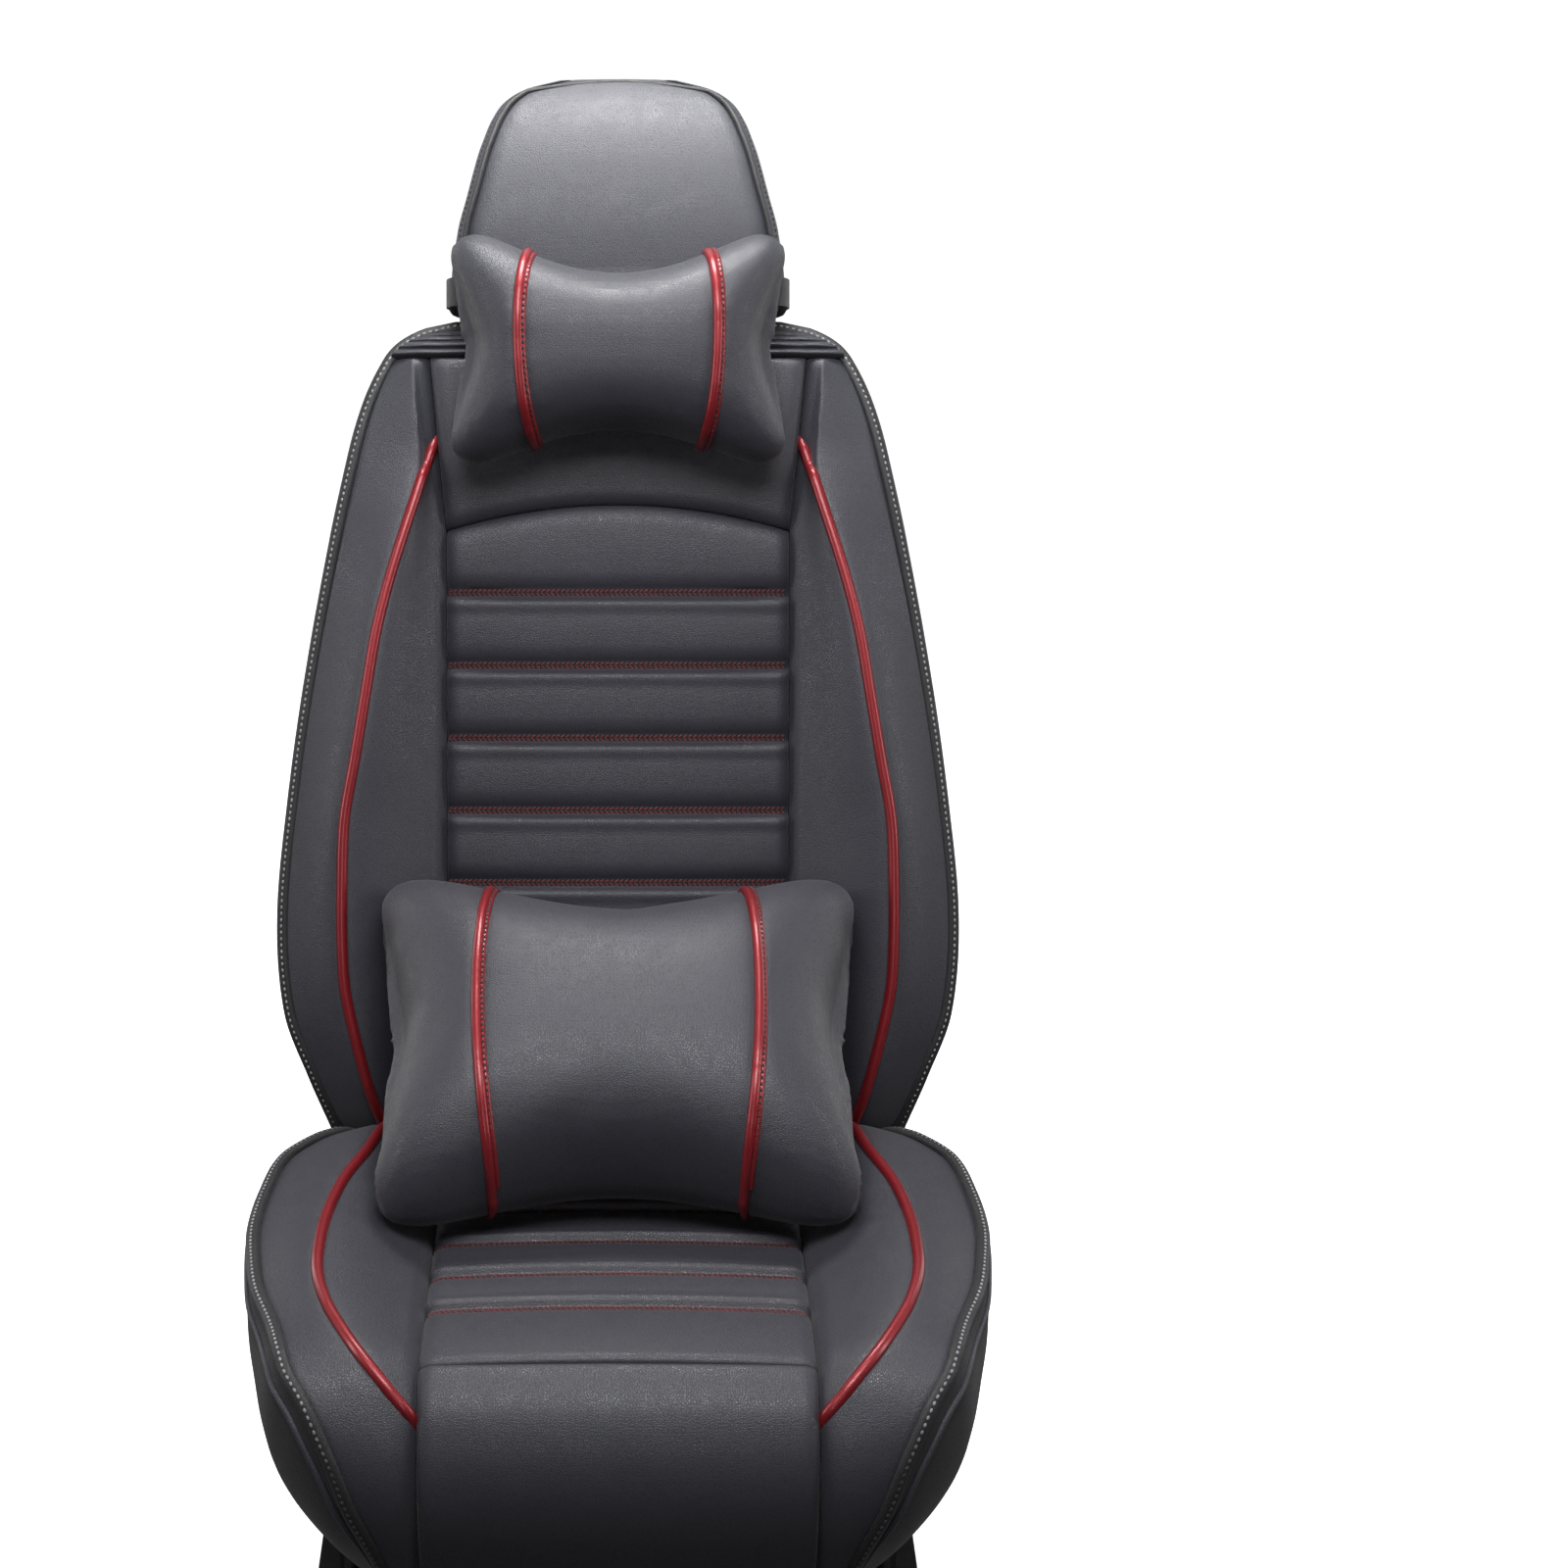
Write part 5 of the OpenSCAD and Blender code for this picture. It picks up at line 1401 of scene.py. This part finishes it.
class SEAT_OT_pillow(bpy.types.Operator):
    """A stuffed pillow with two red pipings across it and a sewn row on each"""
    bl_idname = "seat.pillow"
    bl_label = "Pillow"

    which: bpy.props.EnumProperty(
        name="Pillow", description="Which pillow to sew", default="neck",
        items=[("neck", "Neck", "Pillow at the neck"), ("lumbar", "Lumbar", "Pillow at the waist")])

    def execute(self, context):
        p = PILLOWS[self.which]
        vs = stations(-1, 64, 1)

        def spot(u, v, h):
            x, y = pillow_side(u, v, p)
            return p["place"](x, y, h)

        rings = []
        steps = stations(-1, 22, -0.5, 40, 0.5, 22, 1)[1:-1]
        for t in steps:
            def across(v):
                q = pipe_u(p, v)
                return t * 2 * q if abs(t) <= 0.5 else math.copysign(q + (1 - q) * (abs(t) - 0.5) * 2, t)
            front = [spot(across(v), v, pillow_height(p, across(v), v, True)) for v in vs[1:-1]]
            rear = [spot(across(v), v, pillow_height(p, across(v), v, False)) for v in reversed(vs[1:-1])]
            rings.append([spot(across(-1), -1, 0)] + front + [spot(across(1), 1, 0)] + rear)
        piece = loft(f"{self.which}_pillow_cover", rings, "leather", p["body"])
        stuff(piece, p["out"], 5.0)
        context.view_layer.update()
        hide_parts(p["nodes"][0])
        for side, sign in sides():
            def bead(v, front, lift, shift=0.0):
                q = sign * pipe_u(p, v) + shift / p["w"]
                far = pillow_height(p, q, v, front) + math.copysign(25, lift)
                up = (spot(q, v, far) - spot(q, v, 0)).normalized()
                return on_cover(piece, spot(q, v, far), spot(q, v, 0)) + up * abs(lift) * MM, up

            def tip(v):
                q = sign * pipe_u(p, v)
                out = (spot(q, v, 0) - spot(q, 0.97 * v, 0)).normalized()
                return spot(q, v, 0) - out * 1.2 * MM, out

            under = [bead(v, False, -0.4) for v in (0.9, 0.95)]
            over = [bead(v, False, -0.4) for v in (-0.9, -0.95)]
            face = [bead(math.sin(t), True, 1.6 - 1.4 * math.sin(t)**8) for t in span(-1.4, 1.4, 110)]
            run = over + [tip(-1)] + face + [tip(1)] + under[::-1]
            path, ups = [c for c, up in run], [up for c, up in run]
            piping = tube(f"{self.which}_pillow_piping_{side}", path, 0.8 * mm("piping_r"), "piping_red",
                          p["body"], ups, squeeze=1.1)
            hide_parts(p["nodes"][1])
            row = [bead(math.sin(t), True, 0.4, 9.4) for t in span(-1.35, 1.35, 110)]
            ups = [up for c, up in row]
            tube(f"{self.which}_pillow_tape_{side}", [c for c, up in row], TAPE_R, "piping_red", p["body"],
                 ups)
            places = along([c + up * TAPE_R * MM for c, up in row], ups, 4.6)
            stitches(f"{self.which}_pillow_stitches_{side}", places, (3.2, 2.0, 1.6), "thread_dark",
                     p["body"])
        return {"FINISHED"}


STRAP_LOW, STRAP_HIGH = 655, 677    # edges of the strap, along the backrest
STRAP_K = 26                        # height on the head restraint whose outline it follows
STRAP_GAP, STRAP_T = 0.5, 1.2


class SEAT_OT_pillow_strap(bpy.types.Operator):
    """Elastic strap that holds the neck pillow round the head restraint"""
    bl_idname = "seat.pillow_strap"
    bl_label = "Neck pillow strap"

    def execute(self, context):
        def loop(grow):
            out = []
            for x, n in head_ring(STRAP_K, grow):
                corner = n > 60 and abs(x) > 100
                out.append((x + math.copysign(2, x) * corner, n + 4 * corner - 1.2 * (n < 0)))
            return out

        inner, outer = loop(STRAP_GAP), loop(STRAP_GAP + STRAP_T)
        n = len(outer)
        verts, faces = [], []
        levels = span(STRAP_LOW, STRAP_HIGH, 12)
        for s in levels:
            for ring in (inner, outer):
                verts += [at_back(x, s, f) for x, f in ring]
        m = len(levels)
        for i in range(m - 1):
            for j in range(n):
                k = (j + 1) % n
                a, b = 2 * i * n, 2 * (i + 1) * n
                faces += [(a + j, a + k, b + k, b + j), (a + n + j, b + n + j, b + n + k, a + n + k)]
        for i, turn in ((0, 1), (m - 1, -1)):
            for j in range(n):
                k, a = (j + 1) % n, 2 * i * n
                faces.append((a + j, a + n + j, a + n + k, a + k)[::turn])
        piece = solid("neck_pillow_elastic", verts, faces, "elastic", "neck_pillow")
        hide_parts("neck_pillow_strap")
        return {"FINISHED"}


# ---------------------------------------------------------------- frame and stage

NODE_FINISH = {
    "dark_zinc": ["lower_rail_left", "lower_rail_right", "upper_rail_left", "upper_rail_right"],
    "zinc_steel": ["seat_springs", "frame_bolts", "recliner_base_plates", "recliner_back_plates",
                   "back_springs", "head_post_left", "head_post_right", "head_core_bar", "recliner_shaft"],
    "black_steel": ["front_feet", "rear_feet", "side_member_left", "side_member_right", "front_cross_tube",
                    "rear_cross_tube", "spring_anchor_tube", "seat_pan", "back_side_member_left",
                    "back_side_member_right", "back_top_tube", "back_cross_bars", "post_guides",
                    "slide_handle"],
    "plastic": ["glide_pads", "recliner_cover_left", "recliner_cover_right", "guide_sleeve_left",
                "guide_sleeve_right", "back_panel", "recline_lever", "release_button"],
}


class SEAT_OT_frame_finish(bpy.types.Operator):
    """Plating, enamel and moulded finishes on the frame"""
    bl_idname = "seat.frame_finish"
    bl_label = "Frame finishes"

    def execute(self, context):
        for name, nodes in NODE_FINISH.items():
            for node in nodes:
                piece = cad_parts[node]
                piece.data.materials.clear()
                piece.data.materials.append(finish(name))
        return {"FINISHED"}


def soft_light(name, place, aim, size, power, tint=(1, 1, 1)):
    """A rectangular lamp at a place, turned to its aim."""
    data = bpy.data.lights.new(name, "AREA")
    data.shape = "RECTANGLE"
    data.size, data.size_y = size
    data.energy = power
    data.color = tint
    lamp = placed(name, data)
    lamp.location = place
    lamp.rotation_euler = (Vector(aim) - Vector(place)).to_track_quat("-Z", "Y").to_euler()


# Each lamp's place, aim, size and power; the side lamps stand on both sides
LAMPS = {
    "top_softbox": ((0, -0.85, 2.15), (0, 0.2, 0.7), (1.4, 0.75), 33, (0.97, 0.97, 1.0)),
    "top_lamp": ((0, 0.44, 1.55), (0, 0.42, 1.0), (0.5, 0.3), 11),
    "front_lamp": ((0, -2.35, 1.25), (0, 0.1, 0.6), (0.5, 0.5), 4),
}
SIDE_AIM = (0.2, 0.2, 0.6)
SIDE_LAMPS = {"rim": ((1.45, 1.25, 0.9), (0.5, 1.8), 6), "edge": ((2.0, -0.2, 1.2), (0.4, 1.4), 13)}
WORLD_LIGHT = 0.055
CAMERA_PLACE, CAMERA_PITCH = (0.0, -2.168, 1.4965), math.radians(68.0)
LENS, SENSOR, LENS_SHIFT = 76.05, 36.0, 0.1059


class SEAT_OT_stage(bpy.types.Operator):
    """Pale floor, soft lights and the camera"""
    bl_idname = "seat.stage"
    bl_label = "Stage"

    def execute(self, context):
        bpy.ops.object.select_all(action="DESELECT")
        bpy.ops.mesh.primitive_plane_add(size=30, location=(0, 0, 0))
        floor = context.active_object
        floor.name = "studio_floor"
        mat, nt, bsdf, at = start("studio_floor", 0.9, specular=0.1)
        cloud = noise(nt, at, 0.7)
        tone = mix(nt, "RGBA", cloud, (0.93, 0.93, 0.93, 1), (0.96, 0.96, 0.96, 1))
        nt.links.new(tone, bsdf.inputs["Base Color"])
        bsdf.inputs["Emission Color"].default_value = (1.0, 1.0, 1.0, 1)
        bsdf.inputs["Emission Strength"].default_value = 1.0
        floor.data.materials.append(mat)
        floor.visible_diffuse = floor.visible_glossy = False
        world = bpy.data.worlds.new("studio")
        bpy.context.scene.world = world
        world.use_nodes = True
        back = world.node_tree.nodes["Background"]
        back.inputs["Color"].default_value = (1.0, 1.0, 1.0, 1)
        back.inputs["Strength"].default_value = WORLD_LIGHT
        for name, lamp in LAMPS.items():
            soft_light(name, *lamp)
        for side, sign in sides():
            turned = Matrix.Diagonal((sign, 1, 1))
            for name, (place, size, power) in SIDE_LAMPS.items():
                soft_light(f"{name}_{side}", turned @ Vector(place), turned @ Vector(SIDE_AIM), size, power)
        lens = bpy.data.cameras.new("view")
        lens.lens, lens.sensor_width, lens.shift_x = LENS, SENSOR, LENS_SHIFT
        camera = placed("view", lens)
        camera.location = CAMERA_PLACE
        camera.rotation_euler = (CAMERA_PITCH, 0, 0)
        bpy.context.scene.camera = camera
        bpy.context.scene.view_settings.view_transform = "Standard"
        return {"FINISHED"}


class SEAT_PT_panel(bpy.types.Panel):
    """Sizes, colours and pieces of the seat"""
    bl_label = "Car front seat"
    bl_idname = "SEAT_PT_panel"
    bl_space_type = "VIEW_3D"
    bl_region_type = "UI"
    bl_category = "Seat"

    def draw(self, context):
        for group in (context.scene.seat_sizes, context.scene.seat_colours):
            for name in group.__annotations__:
                self.layout.prop(group, name)
        for piece in PIECES:
            self.layout.operator(piece.bl_idname)


PIECES = (
    SEAT_OT_frame_finish, SEAT_OT_cushion_centre, SEAT_OT_cushion_front, SEAT_OT_cushion_bolsters,
    SEAT_OT_cushion_skirts, SEAT_OT_cushion_edge, SEAT_OT_back_centre, SEAT_OT_back_yoke,
    SEAT_OT_back_bolsters, SEAT_OT_back_gussets, SEAT_OT_back_top, SEAT_OT_back_edge, SEAT_OT_map_pocket,
    SEAT_OT_head_pad, SEAT_OT_pillow, SEAT_OT_pillow_strap, SEAT_OT_stage)


def register():
    for kind in (SeatSizes, SeatColours, *PIECES, SEAT_PT_panel):
        bpy.utils.register_class(kind)
    bpy.types.Scene.seat_sizes = bpy.props.PointerProperty(type=SeatSizes)
    bpy.types.Scene.seat_colours = bpy.props.PointerProperty(type=SeatColours)


def unregister():
    del bpy.types.Scene.seat_colours, bpy.types.Scene.seat_sizes
    for kind in reversed((SeatSizes, SeatColours, *PIECES, SEAT_PT_panel)):
        bpy.utils.unregister_class(kind)


def main():
    register()
    bpy.ops.seat.frame_finish()
    bpy.ops.seat.cushion_centre()
    bpy.ops.seat.cushion_front()
    bpy.ops.seat.cushion_bolsters()
    bpy.ops.seat.cushion_skirts()
    bpy.ops.seat.cushion_edge()
    bpy.ops.seat.back_centre()
    bpy.ops.seat.back_yoke()
    bpy.ops.seat.back_bolsters()
    bpy.ops.seat.back_gussets()
    bpy.ops.seat.back_top()
    bpy.ops.seat.back_edge()
    bpy.ops.seat.map_pocket()
    bpy.ops.seat.head_pad()
    bpy.ops.seat.pillow(which="neck")
    bpy.ops.seat.pillow(which="lumbar")
    bpy.ops.seat.pillow_strap()
    bpy.ops.seat.stage()


if __name__ == "__main__":
    main()
